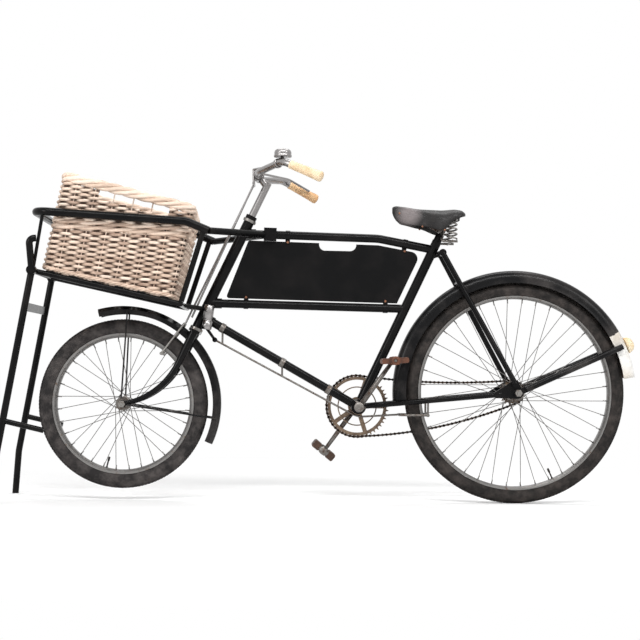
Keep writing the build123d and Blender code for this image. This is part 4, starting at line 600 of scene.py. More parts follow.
def woven_rods():
    """Rods that pass before one stake and behind the next, row upon row, thicker where they come out."""
    recipe = Recipe("woven_rods", "length width corner flare lean rim_lean rim_roll pitch first depth rod"
                    " low high band_low band_high hold_half hold_back hold_low hold_high", "stakes rows")
    given = recipe.given
    rows = recipe.stacked(recipe.loop(given["stakes"] * 6), given["rows"], given["pitch"])
    position = recipe.position()
    x, _, z = recipe.split(position)
    row = (z / given["pitch"]).calc("ROUND")
    wave = ((recipe.share() * given["stakes"] + row) * math.pi).calc("COSINE")
    # How far a rod passes inward behind a stake: sets its painted shade, and thins the rod
    rows = recipe.keep(rows, "recess_shade_share", ((wave - 1.0) * -0.5).calc("POWER", 1.4))
    ragged = recipe.node("ShaderNodeTexNoise", {"Vector": position, "Scale": 0.03, "Detail": 2.0})
    lean = x * given["lean"]
    out = wave * given["depth"] + (z + given["first"] - lean) * given["flare"]
    aside = recipe.scaled(recipe.outward(position), out)
    lift = recipe.xyz(0.0, 0.0, given["first"] - lean + (ragged - 0.5) * 7.0)
    woven = recipe.moved(rows, Offset=recipe.vector("ADD", aside, lift))
    lines = recipe.node("GeometryNodeCurveToMesh", {"Curve": woven})

    x, y, z = recipe.split(recipe.position())
    level = z + x * given["lean"]
    under_rim = z - rim_rise(given, x, y)
    in_band = level.above(given["band_low"]) * level.below(given["band_high"])
    on_side = y.calc("ABSOLUTE").above(HOLD_FROM_MIDDLE)
    in_hold = (x + given["hold_back"]).calc("ABSOLUTE").below(given["hold_half"]) * on_side
    in_hold = in_hold * under_rim.above(given["hold_low"]) * under_rim.below(given["hold_high"])
    beyond = z.below(given["low"]) + under_rim.above(given["high"])
    cut = (in_band + in_hold + beyond).above(0.5)
    left = recipe.node("GeometryNodeDeleteGeometry", {"Geometry": lines, "Selection": cut}, domain="POINT")
    rods = recipe.node("GeometryNodeMeshToCurve", {"Mesh": left})
    thick = recipe.node("ShaderNodeTexNoise", {"Vector": recipe.position(), "Scale": 0.012})
    swell = thick * 0.4 + 0.8 - recipe.kept("recess_shade_share") * 0.28
    rods = recipe.node("GeometryNodeSetCurveRadius", {"Curve": rods, "Radius": swell})
    recipe.close(recipe.tubes(recipe.toned(rods, 7), given["rod"], 6))
    return recipe.make("woven_rods", "willow", **BASKET_PLAN, flare=BASKET_FLARE, lean=ROW_LEAN,
                       rim_lean=RIM_LEAN, rim_roll=RIM_ROLL, stakes=STAKES, rows=44, pitch=7.75, first=-34.0,
                       depth=3.4, rod=4.7, low=13.0, high=250.0,
                       band_low=BAND_MIDDLE - BAND_HALF, band_high=BAND_MIDDLE + BAND_HALF,
                       hold_half=103.0, hold_back=21.0, hold_low=221.0, hold_high=254.0)


def upright_stakes():
    recipe = Recipe("upright_stakes", "length width corner flare rim_lean rim_roll low high rod", "stakes")
    given = recipe.given
    line = recipe.line(recipe.xyz(0.0, 0.0, given["low"]), recipe.xyz(0.0, 0.0, given["high"]))
    rods = recipe.real(recipe.copies(recipe.loop(given["stakes"]), line))
    position = recipe.position()
    x, y, z = recipe.split(position)
    away = recipe.vector("NORMALIZE", recipe.vector("MULTIPLY", position, (1, 1, 0)))
    out = recipe.scaled(away, z * given["flare"])
    rise = recipe.xyz(0.0, 0.0, rim_rise(given, x, y) * (z / given["high"]))
    leaning = recipe.moved(rods, Offset=recipe.vector("ADD", out, rise))
    # The stakes carry a fixed share of the painted shade
    leaning = recipe.keep(leaning, "recess_shade_share", 0.3)
    recipe.close(recipe.tubes(recipe.toned(leaning, 3), given["rod"], 8))
    return recipe.make("upright_stakes", "willow", **BASKET_PLAN, flare=BASKET_FLARE, rim_lean=RIM_LEAN,
                       rim_roll=RIM_ROLL, stakes=STAKES // 2, low=4.0, high=262.0, rod=2.0)


def twisted_ropes():
    """Rods twisted round each other along the basket's outline."""
    recipe = Recipe("twisted_rope", "length width corner lean roll strand wide tall height",
                    "strands twists steps seed")
    given = recipe.given
    loops = recipe.stacked(recipe.loop(given["steps"]), given["strands"], 1.0)
    position = recipe.position()
    x, y, z = recipe.split(position)
    strand = z.calc("ROUND") / given["strands"]
    angle = (recipe.share() * given["twists"] + strand) * math.tau
    aside = recipe.scaled(recipe.outward(position), angle.calc("COSINE") * given["wide"])
    level = given["height"] - x * given["lean"] + y * given["roll"]
    flat = recipe.xyz(x, y, level + angle.calc("SINE") * given["tall"])
    twisted = recipe.moved(loops, Position=recipe.vector("ADD", flat, aside))
    recipe.close(recipe.tubes(recipe.toned(twisted, given["seed"]), given["strand"], 8))
    return recipe


def basket_floor():
    """Thin rods woven across stout sticks."""
    recipe = Recipe("basket_floor", "length width rod depth height sticks", "rods")
    given = recipe.given
    half = given["width"] * 0.5
    line = recipe.line(recipe.xyz(0.0, half * -1.0, 0.0), recipe.xyz(0.0, half, 0.0))
    step = given["length"] / given["rods"]
    row = recipe.row(given["rods"], recipe.xyz(step, 0.0, 0.0))
    rods = recipe.real(recipe.copies(row, recipe.resampled(line, 42)))
    number = (recipe.split(recipe.position())[0] / step).calc("ROUND")
    wave = ((recipe.share() * given["sticks"] + number) * math.pi).calc("COSINE") * given["depth"]
    first = given["length"] * -0.5 + step * 0.5
    woven = recipe.moved(rods, Offset=recipe.xyz(first, 0.0, wave + given["height"]))
    recipe.close(recipe.tubes(recipe.toned(woven, 5), given["rod"], 6))
    return recipe.make("basket_floor", "willow", length=366.0, width=300.0, rods=46, rod=3.7, depth=2.4,
                       height=6.5, sticks=6.0)


def basket_pieces():
    rope = twisted_ropes()
    band = {"strands": 2, "twists": 10, "strand": 5.6, "wide": 4.6, "tall": 3.4, "lean": ROW_LEAN,
            "steps": 240}
    ropes = {
        "basket_border": {"strands": 4, "twists": 8, "strand": 6.4, "wide": 5.6, "tall": 9.0,
                          "height": RIM_HEIGHT, "lean": RIM_LEAN, "roll": RIM_ROLL, "steps": 300, "seed": 11},
        "basket_band_upper": {**band, "height": BAND_MIDDLE + BAND_ROPE_APART, "seed": 13},
        "basket_band_lower": {**band, "height": BAND_MIDDLE - BAND_ROPE_APART, "seed": 17},
        "basket_foot": {"strands": 3, "twists": 30, "strand": 3.4, "wide": 4.4, "tall": 3.2, "height": 7.2,
                        "lean": 0.0, "steps": 420, "seed": 19},
    }
    meshes = {"basket_weave": woven_rods(), "basket_stakes": upright_stakes(), "basket_floor": basket_floor()}
    for name, sizes in ropes.items():
        meshes[name] = rope.make(name, "willow", **BASKET_PLAN, **sizes)
    for name, mesh in meshes.items():
        mesh.transform(BASKET_FRAME)
        piece(name, mesh, "frame", "willow", *(["basket"] if name == "basket_weave" else []))


basket_pieces()


# Saddle: a hammock of leather over coil springs
SADDLE_REAR = REAR_X - 168.0
SADDLE_NOSE = SADDLE_REAR - 207.0
SADDLE_LENGTH = 216.0
SADDLE_SECTIONS = [  # share from the nose, half width, top height, lower edge of the flaps
    (0.0, 7.0, 886.0, 872.0),
    (0.05, 16.0, 891.0, 850.0),
    (0.13, 21.0, 889.0, 836.0),
    (0.4, 44.0, 881.0, 826.0),
    (0.68, 84.0, 878.0, 810.0),
    (0.85, 91.0, 880.0, 844.0),
    (0.95, 84.0, 877.0, 852.0),
    (1.0, 66.0, 868.0, 856.0),
]
LEATHER_THICK = 0.0045  # metres


def saddle_section(share):
    """Place along, half width, top height and the flaps' lower edge, at a share of the length."""
    for first, second in zip(SADDLE_SECTIONS, SADDLE_SECTIONS[1:]):
        if share <= second[0]:
            break
    step = (share - first[0]) / (second[0] - first[0])
    step = step * step * (3 - 2 * step) * 0.5 + step * 0.5
    half, top, flap = (a + (b - a) * step for a, b in zip(first[1:], second[1:]))
    return SADDLE_NOSE + SADDLE_LENGTH * share, half, top, flap


def saddle_point(share, turn):
    """A point of the leather, by its share from nose to tail and its turn between the flaps (-0.5 to 0.5)."""
    along, half, top, flap = saddle_section(share)
    angle = math.pi * turn * 1.16
    side = half * math.copysign(abs(math.sin(angle)) ** 0.8, angle)
    drop = 1 - max(0.0, math.cos(angle)) ** 0.55 + 0.12 * max(0.0, abs(angle) - math.pi / 2)
    return Vector((along, side, top - (top - flap) * min(1.0, drop)))


def saddle_top():
    shape = bmesh.new()
    steps, around = 36, 24
    grid = [[shape.verts.new(saddle_point(i / steps, j / around - 0.5)) for j in range(around + 1)]
            for i in range(steps + 1)]
    for first, second in zip(grid, grid[1:]):
        for j in range(around):
            shape.faces.new((first[j], first[j + 1], second[j + 1], second[j]))
    leather = piece("saddle_top", as_mesh(shape, "saddle_top"), "frame", "saddle_hide", "saddle_leather")
    shell = leather.modifiers.new("leather", "SOLIDIFY")
    shell.thickness = LEATHER_THICK
    shell.offset = -1.0
    fine = leather.modifiers.new("fine", "SUBSURF")
    fine.levels = fine.render_levels = 1


def coil_springs():
    recipe = Recipe("coil_springs", "radius wire height turns")
    given = recipe.given
    coil = recipe.node("GeometryNodeCurveSpiral", {
        "Resolution": 20, "Rotations": given["turns"], "Start Radius": given["radius"],
        "End Radius": given["radius"], "Height": given["height"]})
    recipe.close(recipe.copies(given["points"], recipe.tubes(coil, given["wire"], 8)))
    feet = dots("spring_feet", [(SADDLE_REAR - 30, side * 48, 789) for _, side in SIDES])
    mesh = recipe.make("saddle_coils", "worn_steel", feet, radius=14.4, wire=2.6, height=72.0, turns=5.0)
    piece("saddle_coils", mesh, "frame", "worn_steel", "saddle_springs")


saddle_top()
coil_springs()


# Tyres with block tread
Wheel = namedtuple("Wheel", "name axle radius width depth spokes rim valve")
WHEELS = [  # radius, width and depth are the tyre's, rim is a radius inside, valve an angle in degrees
    Wheel("rear", REAR_AXLE, 332.0, 40.0, 40.0, 40, 282.0, -65.5),
    Wheel("front", FRONT_AXLE, 252.0, 44.0, 42.0, 32, 197.0, -104.0),
]
TREAD = 1.8
BLOCKS_PER_RADIUS = 0.62


def tread_recipe():
    """Blocks round a tyre, in rows across it."""
    recipe = Recipe("tread_blocks", "radius gap curve", "rows blocks", "block")
    given = recipe.given
    ring = recipe.node("GeometryNodeCurvePrimitiveCircle", {"Resolution": given["blocks"], "Radius": 1.0})
    rows = recipe.stacked(ring, given["rows"], 1.0)
    x, y, z = recipe.split(recipe.position())
    number = z.calc("ROUND")
    side = (number - (given["rows"] - 1.0) * 0.5) * given["gap"]
    reach = given["radius"] - side * side / (given["curve"] * 2.0)
    angle = y.calc("ARCTAN2", x) + number.calc("MODULO", 2.0) * math.pi / given["blocks"]
    around = recipe.xyz(angle.calc("COSINE") * reach, side, angle.calc("SINE") * reach)
    points = recipe.node("GeometryNodeCurveToPoints", {"Curve": recipe.moved(rows, Position=around)},
                         mode="EVALUATED")
    x, y, z = recipe.split(recipe.position())
    turn = recipe.xyz(0.0, (z * -1.0).calc("ARCTAN2", x), y / given["curve"])
    block = recipe.node("GeometryNodeMeshCube", {"Size": given["block"]})
    recipe.close(recipe.copies(points, block, Rotation=turn), smooth=False)
    return recipe


def tyre_outline(wheel):
    """A tyre's section: flat at the beads, round outside, fullest a little under half its depth."""
    crown, bead, half = wheel.radius - TREAD, wheel.radius - wheel.depth, wheel.width / 2
    belly = bead + wheel.depth * 0.45
    outline = [(bead, -half * 0.7), (bead, half * 0.7), (bead + 3, half * 0.78)]
    for k in range(13):
        turn = math.radians(-38 + 256 * k / 12)
        tall = crown - belly if math.sin(turn) > 0 else (belly - bead) * 1.1
        outline.append((belly + tall * math.sin(turn), half * math.cos(turn)))
    return outline + [(bead + 3, -half * 0.78)]


def tyres():
    tread = tread_recipe()
    for wheel in WHEELS:
        name, look = wheel.name, f"{wheel.name}_rubber"
        carcass = turned(f"{name}_carcass", (tyre_outline(wheel), wheel.axle, ACROSS, 120, True))
        piece(f"{name}_tyre_rubber", carcass, f"{name}_wheel", "tyre_rubber", f"{name}_tyre", look=look)
        blocks = tread.make(f"{name}_tread", look, radius=wheel.radius - TREAD / 2 - 0.1, rows=5, gap=5.4,
                            curve=17.0, blocks=int(wheel.radius * BLOCKS_PER_RADIUS), block=(TREAD, 3.9, 6.4))
        blocks.transform(Matrix.Translation(wheel.axle))
        piece(f"{name}_tyre_tread", blocks, f"{name}_wheel", "tyre_rubber")


tyres()


# Chain of separate links
CHAIN_PITCH = 12.7
CHAIN_SIDE = 45.0
RING_R = CHAIN_PITCH / (2 * math.sin(math.pi / 46))
SPROCKET_R = CHAIN_PITCH / (2 * math.sin(math.pi / 18))
LOWER_SAG = 20.0
UPPER_SAG = 13.5
LYING = (math.pi / 2, 0, 0)  # turns an upright cylinder to lie across the bicycle


def hung(start, end, sag):
    """Points between two ends, hanging below their line."""
    shares = [k / 24 for k in range(1, 24)]
    return [start.lerp(end, t) - UP * (4 * sag * t * (1 - t)) for t in shares]


def chain_path():
    """The chain's line round chainring and sprocket, slack between them, as a closed string of points."""
    run = REAR_AXLE - BRACKET
    base = math.atan2(run.z, run.x)
    tilt = math.acos((RING_R - SPROCKET_R) / run.length)
    arcs = []
    for centre, radius, start, sweep in ((BRACKET, RING_R, base + tilt, math.tau - 2 * tilt),
                                         (REAR_AXLE, SPROCKET_R, base - tilt, 2 * tilt)):
        turns = [start + sweep * k / 60 for k in range(61)]
        arcs.append([centre + spoke(t) * radius + ACROSS * CHAIN_SIDE for t in turns])
    ring, sprocket = arcs
    return ring + hung(ring[-1], sprocket[0], LOWER_SAG) + sprocket + hung(sprocket[-1], ring[0], UPPER_SAG)


def chain_link(recipe, spread):
    """Two waisted plates with their pin, lying along X."""
    given = recipe.given
    half = given["pitch"] * 0.5
    waist = recipe.xyz(given["pitch"], given["plate"], given["half_height"] * 1.25)
    parts = []
    for way in (-1.0, 1.0):
        side = spread * way
        for end in (-1.0, 1.0):
            eye = recipe.cylinder(10, given["half_height"], given["plate"])
            parts.append(recipe.laid(eye, Translation=recipe.xyz(half * end, side, 0.0), Rotation=LYING))
        bar = recipe.node("GeometryNodeMeshCube", {"Size": waist})
        parts.append(recipe.laid(bar, Translation=recipe.xyz(0.0, side, 0.0)))
    pin = recipe.cylinder(8, given["pin"], spread * 2.0 + given["plate"])
    parts.append(recipe.laid(pin, Translation=recipe.xyz(half, 0.0, 0.0), Rotation=LYING))
    return recipe.joined(parts)


def chain_links():
    recipe = Recipe("chain_links", "pitch plate half_height pin inner outer", "links")
    given = recipe.given
    line = recipe.resampled(recipe.node("GeometryNodeMeshToCurve", {"Mesh": given["points"]}), given["links"])
    east, _, rise = recipe.split(recipe.node("GeometryNodeInputTangent"))
    turn = recipe.xyz(0.0, (rise * -1.0).calc("ARCTAN2", east), 0.0)
    odd = recipe.node("GeometryNodeInputIndex").calc("MODULO", 2.0)
    kinds = ((given["inner"], odd), (given["outer"], odd.below(0.5)))
    links = [recipe.copies(line, chain_link(recipe, spread), Selection=chosen, Rotation=turn)
             for spread, chosen in kinds]
    recipe.close(recipe.joined(links), smooth=False)
    points = chain_path()
    following = points[1:] + points[:1]
    path = bpy.data.meshes.new("chain_line")
    edges = [(k, (k + 1) % len(points)) for k in range(len(points))]
    path.from_pydata([tuple(p) for p in points], edges, [])
    length = sum((there - here).length for here, there in zip(points, following))
    mesh = recipe.make("chain_links", "chain_steel", path, links=2 * round(length / (2 * CHAIN_PITCH)),
                       pitch=CHAIN_PITCH, plate=1.0, half_height=4.1, pin=2.6, inner=2.3, outer=3.35)
    piece("chain_links", mesh, "frame", "drive_steel", "chain")


chain_links()


# Rear mudguard, a rolled shell with a bead along each edge, its lamp, and the panel's hand notch
GUARD_R = 368.0
GUARD_HALF = 31.0
GUARD_DEPTH = 37.0
GUARD_WALL = 1.5
GUARD_START, GUARD_SWEEP = 8.0, 178.0  # degrees from level behind the axle, upwards
LAMP_TURN = math.radians(23.3)
LAMP_PROFILE = [(0, 0), (24.6, 0), (25, 1.5), (25, 4), (23.2, 4.6), (23.4, 8), (21.4, 14), (16.8, 19.4),
                (9.6, 22.9), (0, 24)]
NOTCH_MIDDLE, NOTCH_TOP = 44.5, 771.3
LIP_HALF_THICK = 1.1


def guard_section():
    """The shell's outside with its edges, the bead, and the inside, as (radius, side) corners."""
    low = GUARD_R - GUARD_DEPTH
    turns = [math.radians(-80 + 10 * k) for k in range(17)]
    crown = [(GUARD_R - GUARD_DEPTH * (1 - math.cos(t) ** 0.7),
              GUARD_HALF * math.copysign(abs(math.sin(t)) ** 0.8, t)) for t in turns]
    outside = [(low, -GUARD_HALF)] + crown + [(low, GUARD_HALF)]
    bead = [(low - 1.6, GUARD_HALF + 0.8), (low - 2.2, GUARD_HALF - 1.4), (low, GUARD_HALF - 2.4)]
    narrowed = (GUARD_HALF - GUARD_WALL) / GUARD_HALF
    inside = [(r - GUARD_WALL, side * narrowed) for r, side in reversed(crown)]
    return outside, bead, inside


def rear_guard():
    outside, bead, inside = guard_section()
    section = outside + bead + inside + [(r, -side) for r, side in reversed(bead)]
    count, first_inside, last_inside = len(section), len(outside) + 2, len(section) - 5
    shape = bmesh.new()
    rings = []
    for k in range(91):
        out = spoke(math.radians(GUARD_START + GUARD_SWEEP * k / 90))
        rings.append([shape.verts.new(REAR_AXLE + out * r + ACROSS * side) for r, side in section])
    for first, second in zip(rings, rings[1:]):
        for j in range(count):
            face = shape.faces.new((first[j], first[(j + 1) % count], second[(j + 1) % count], second[j]))
            face.material_index = int(first_inside <= j <= last_inside)
    for end in (rings[0], rings[-1]):
        shape.faces.new(end)
    mesh = as_mesh(shape, "rear_guard")
    for look in ("white_tail", "guard_inside"):
        mesh.materials.append(FINISHES[look])
    piece("rear_guard_shell", mesh, "frame", "guard_paint", "rear_mudguard")


def tail_lamp():
    out = spoke(LAMP_TURN)
    lens = turned("tail_lamp", (LAMP_PROFILE, REAR_AXLE + out * (GUARD_R + 0.3), out, 32))
    piece("tail_lamp", lens, "frame", "lamp_lens", "tail_reflector")


def notch_edge(reach, radius):
    """A quarter round at each end of a straight run, below the notch's top."""
    shifts = [-reach] * 6 + [reach] * 7
    turns = [math.radians(180 + 15 * k) for k in range(13)]
    return [(NOTCH_MIDDLE + shift + radius * math.cos(t), NOTCH_TOP + radius * math.sin(t))
            for shift, t in zip(shifts, turns)]


def notch_lip():
    """The folded lower edge of the panel's hand notch."""
    shape = bmesh.new()
    outline = notch_edge(26, 31) + list(reversed(notch_edge(37, 19)))
    push_out(shape, outline, Matrix.Identity(4), -LIP_HALF_THICK, LIP_HALF_THICK)
    piece("panel_notch_lip", as_mesh(shape, "notch_lip", smooth=False), "frame", "panel_paint")


rear_guard()
tail_lamp()
notch_lip()


# Handlebar furniture: grips and bell
BAR_CENTRE = Vector((-195.4, 0, 974.6))
GRIP_PROFILE = [(0, -102), (11.2, -102), (12.2, -101), (12.6, -97), (12.2, -94), (12.8, -60), (13.9, -25),
                (15.2, -4), (15.4, 0), (14.2, 3.4), (10.0, 5.6), (0, 6)]
BELL_PROFILE = [(0, 0.6), (19, 0.6), (24.4, 0), (26, 1.6), (25.6, 6.6), (24.0, 8), (24.8, 9.6), (24.6, 14.5),
                (22.6, 19.5), (18, 22.8), (10, 24.6), (4.4, 25), (4.2, 25.8), (0, 26)]
BELL_BAND = [(10.8, -7), (13, -7), (13.8, -4), (13.8, 4), (13, 7), (10.8, 7)]
BELL_POST = [(0, 11), (8.5, 11), (6.5, 14), (5, 16), (5, 24), (0, 24)]
BELL_LEVER = [(0, 16), (2, 16), (2, 30), (4.2, 31.5), (5, 35), (3.6, 38.4), (0, 39.4)]


def on_bar(back, side, rise):
    return BAR_CENTRE + Vector((back, side, rise))


def grips():
    for side_name, side in SIDES:
        end = on_bar(177, side * 270, -34)
        run = (end - on_bar(71, side * 218, 15)).normalized()
        grip = turned("grip", (GRIP_PROFILE, end, run, 28))
        replaced, look = (["grips"], "grip_plastic") if side < 0 else ([], "old_grip")
        piece(f"{side_name}_grip", grip, "steering", "grip_plastic", *replaced, look=look)


def bell():
    band = on_bar(56.8, -192.4, 12)
    run = (on_bar(71, -218, 15) - on_bar(0, -90, 0)).normalized()
    base = band + Vector((14, 0, 18))
    post = (base - band).normalized()
    lever = Vector((0.88, -0.2, -0.43)).normalized()
    dome = turned("bell", (BELL_PROFILE, base, UP, 36), (BELL_BAND, band, run, 24, True),
                  (BELL_POST, band, post, 16), (BELL_LEVER, base, lever, 12))
    piece("bell_dome", dome, "steering", "bell_steel", "bell")


grips()
bell()


# Cranks with cotters, pedals with ribbed blocks, the chainring's hoop and the rear brake's lever
CRANK_SIDE = 64.5
CRANK_LENGTH = 170.0
CRANK_RISES = {"left": 54.5, "right": 234.5}  # degrees from level, behind the bracket
CRANK_BOSS = [(0, -7.2), (13.5, -7.2), (15, -5.6), (15, 5.6), (13.5, 7.2), (0, 7.2)]
CRANK_EYE = [(0, -6.5), (8.5, -6.5), (9.5, -5.5), (9.5, 5.5), (8.5, 6.5), (0, 6.5)]
COTTER = [(0, -17), (3.6, -17), (3.6, 15), (2.6, 16), (2.6, 20), (0, 20)]
SPINDLE = [(0, 0), (5, 0), (5, 101), (4.4, 101.5), (0, 101.5)]
PEDALS = [  # side, centre, tilt, half height of a block, finish of the blocks, finish of the cage
    ("left", Vector((209.7, -120, 423.4)), -4.0, 8.5, "rusty_pedal", "rusty_pedal"),
    ("right", Vector((12.3, 120, 146.6)), 39.0, 12.5, "pedal_rubber", "crank_steel"),
]
BLOCK_HALF = 43.0
BLOCK_APART = 26.0
CAGE_HALF = 45.5
PEDAL_BARREL = [(6, -45), (9, -45), (8.2, -20), (8.2, 20), (9, 45), (6, 45)]
PEDAL_CUP = [(6, -2), (13, -2), (12.6, 1.6), (9.5, 3), (6, 3)]
HOOP = [(56.2, -1.5), (59.2, -1.5), (59.8, 0), (59.2, 1.5), (56.2, 1.5)]


def cranks():
    for side_name, side in SIDES:
        turn = math.radians(CRANK_RISES[side_name])
        along = spoke(turn)
        over = along.cross(ACROSS)
        middle = BRACKET + ACROSS * (side * CRANK_SIDE)
        arm = frame_at(middle, along, ACROSS, over)
        shape = bmesh.new()
        for half, thick in ((1.0, 4.4), (0.8, 6.0)):
            outline = [(6, -8 * half), (166, -5.5 * half), (166, 5.5 * half), (6, 8 * half)]
            push_out(shape, outline, arm, -thick, thick)
        eye = middle + along * CRANK_LENGTH
        turn_into(shape, CRANK_BOSS, middle, ACROSS, 28)
        turn_into(shape, CRANK_EYE, eye, ACROSS, 24)
        turn_into(shape, SPINDLE, eye, ACROSS * side, 16)
        turn_into(shape, COTTER, middle + along * 8.5, over, 12)
        piece(f"{side_name}_crank_arm", as_mesh(shape, "crank"), "crankset", "worn_steel",
              f"{side_name}_crank", look="crank_steel")


def ribbed_block(middle, tall):
    """A rubber block's outline: grooved above and below, rounded at its ends."""
    ribs = [(-10.5 + 2.1 * k, tall if k % 2 else tall - 1.5) for k in range(11)]
    over = [(-13, tall * 0.6)] + ribs + [(13, tall * 0.6)]
    return [(middle + x, z) for x, z in over + [(-x, -z) for x, z in over]]


def pedals():
    plate = [(-16, -5), (-9, -12), (9, -12), (16, -5)]
    plate = plate + [(-x, -z) for x, z in plate]
    for side_name, middle, tilt, tall, block_look, cage_look in PEDALS:
        along = spoke(-math.radians(tilt))
        held = frame_at(middle, along, ACROSS, along.cross(ACROSS))
        blocks = bmesh.new()
        cage = bmesh.new()
        turn_into(cage, PEDAL_BARREL, middle, ACROSS, 20, closed=True)
        for way in (-1, 1):
            push_out(blocks, ribbed_block(way * BLOCK_APART, tall), held, -BLOCK_HALF, BLOCK_HALF)
            push_out(cage, plate, held, *sorted((way * BLOCK_HALF, way * CAGE_HALF)))
            turn_into(cage, PEDAL_CUP, middle + ACROSS * (way * CAGE_HALF), ACROSS * way, 20, closed=True)
        body = f"{side_name}_pedal_body"
        rubbers = as_mesh(blocks, "pedal_blocks", smooth=False)
        piece(f"{side_name}_pedal_blocks", rubbers, body, "pedal_rubber", f"{side_name}_pedal",
              look=block_look)
        plates = as_mesh(cage, "pedal_cage", smooth=False)
        piece(f"{side_name}_pedal_cage", plates, body, "worn_steel", look=cage_look)


def chainring_hoop():
    hoop = turned("chainring_hoop", (HOOP, BRACKET + ACROSS * CHAIN_SIDE, ACROSS, 60, True))
    piece("chainring_hoop", hoop, "crankset", "drive_steel")


# The lever stands beside the lower end of the head tube, on the left
BARREL_FOOT = Vector((-345, -33, 510))
BARREL_RISE = Vector((9, 0, 73)).normalized()
BARREL = [(0, 0), (13, 0), (15, 2), (15, 24), (13.4, 25), (13.4, 30), (15, 31), (15, 71), (13, 73), (0, 73)]
BARREL_HOLD = Vector((-346, -4, 548))  # inside the tubes' joint
ROD_END = at(903, 0, 480)
LEVER_EYE = [(0, -5), (6.5, -5), (7.5, -4), (7.5, 4), (6.5, 5), (0, 5)]


def brake_pivot():
    """The plated barrel at the foot of the head tube, whose lever pulls the rear brake rod."""
    barrel = turned("brake_barrel", (BARREL, BARREL_FOOT, BARREL_RISE, 32))
    piece("brake_barrel", barrel, "frame", "bell_steel")
    shape = bmesh.new()
    arms = ((BARREL_FOOT + BARREL_RISE * 40, BARREL_HOLD, 9.0), (BARREL_FOOT + BARREL_RISE * 4, ROD_END, 4.5))
    for start, end, radius in arms:
        run = end - start
        bar = [(0, 0), (radius, 0), (radius, run.length), (0, run.length)]
        turn_into(shape, bar, start, run.normalized(), 16)
    turn_into(shape, LEVER_EYE, ROD_END, ACROSS, 20)
    piece("brake_lever_arm", as_mesh(shape, "brake_lever_arm"), "frame", "frame_paint")


cranks()
pedals()
chainring_hoop()
brake_pivot()


# Small metalwork: nuts, clip bolts, spoke nipples, valves and saddle rivets
CLIPS = [(-300, -170, 1), (-170, 0, -1), (0, 220, 1), (220, 400, -1)]  # from X, to X, way its bolt faces
VALVE_STEM = [(0, -2), (3.2, -2), (3.2, 3), (2.4, 4), (2.4, 20), (3.4, 21), (3.4, 31), (2.2, 33), (0, 33)]
RIVETS = [(0.41, 0.47), (0.7, 0.46), (0.1, 0.34)]  # share from the nose, turn towards the flap


def nut_recipe():
    """Hexagon nuts across the bicycle, each with the end of its bolt."""
    recipe = Recipe("hexagon_nuts", "across depth bolt")
    given = recipe.given
    nut = recipe.cylinder(6, given["across"], given["depth"])
    end = recipe.cylinder(10, given["bolt"], given["depth"] * 1.7)
    recipe.close(recipe.copies(given["points"], recipe.joined([nut, end]), Rotation=LYING), smooth=False)
    return recipe


def clip_bolt_places():
    """One bolt on each of the panel's clips, 6 mm inside the clip's edge."""
    corners = [v.co * 1000 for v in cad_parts["panel_clips"].data.vertices]
    places = []
    for low, high, way in CLIPS:
        own = [corner for corner in corners if low < corner.x < high]
        middle = (min(c.x for c in own) + max(c.x for c in own)) / 2
        edge = max(way * c.z for c in own) * way
        places.append(Vector((middle, 0, edge - way * 6)))
    return places


def nuts():
    recipe = nut_recipe()
    for node, centre, body in (("rear_axle", REAR_AXLE, "frame"), ("front_axle", FRONT_AXLE, "steering")):
        reach = max(abs(v.co.y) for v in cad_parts[node].data.vertices) * 1000
        places = dots("nuts", [centre + ACROSS * (side * (reach - 5)) for _, side in SIDES])
        mesh = recipe.make(f"{node}_nuts", "worn_steel", places, across=11.0, depth=8.0, bolt=4.6)
        piece(f"{node}_nuts", mesh, body, "worn_steel")
    places = dots("bolts", clip_bolt_places())
    mesh = recipe.make("panel_clip_bolts", "copper", places, across=3.8, depth=7.0, bolt=2.0)
    piece("panel_clip_bolts", mesh, "frame", "worn_steel")


def spoke_nipples():
    recipe = Recipe("spoke_nipples", "radius length")
    given = recipe.given
    barrel = recipe.laid(recipe.cylinder(8, given["radius"], given["length"]), Rotation=(0, math.pi / 2, 0))
    turn = recipe.xyz(0.0, recipe.kept("swing"), 0.0)
    recipe.close(recipe.copies(given["points"], barrel, Rotation=turn))
    for wheel in WHEELS:
        step = math.tau * 2 / wheel.spokes
        places, swings = [], []
        for _, side in SIDES:
            for index in range(wheel.spokes // 2):
                lead = 1 if index % 2 else -1
                angle = step * index + side * step / 4 + lead * 3 * step
                places.append(wheel.axle + spoke(angle) * (wheel.rim - 6) + ACROSS * (side * 3.6))
                swings.append(-angle)
        points = dots("nipples", places, swing=swings)
        mesh = recipe.make(f"{wheel.name}_nipples", "rim_steel", points, radius=1.9, length=12.0)
        piece(f"{wheel.name}_spoke_nipples", mesh, f"{wheel.name}_wheel", "rim_steel")


def valves():
    for wheel in WHEELS:
        out = spoke(math.radians(wheel.valve))
        valve = turned("valve", (VALVE_STEM, wheel.axle + out * wheel.rim, -out, 10))
        piece(f"{wheel.name}_valve", valve, f"{wheel.name}_wheel", "tyre_rubber", look=f"{wheel.name}_rubber")


def saddle_rivets():
    recipe = Recipe("saddle_rivets", "radius")
    given = recipe.given
    dome = recipe.node("GeometryNodeMeshUVSphere", {"Segments": 10, "Rings": 6, "Radius": given["radius"]})
    recipe.close(recipe.copies(given["points"], dome))
    places = [saddle_point(share, way * turn) for way in (-1, 1) for share, turn in RIVETS]
    mesh = recipe.make("saddle_rivets", "copper", dots("rivets", places), radius=3.0)
    piece("saddle_rivets", mesh, "frame", "worn_steel")


nuts()
spoke_nipples()
valves()
saddle_rivets()


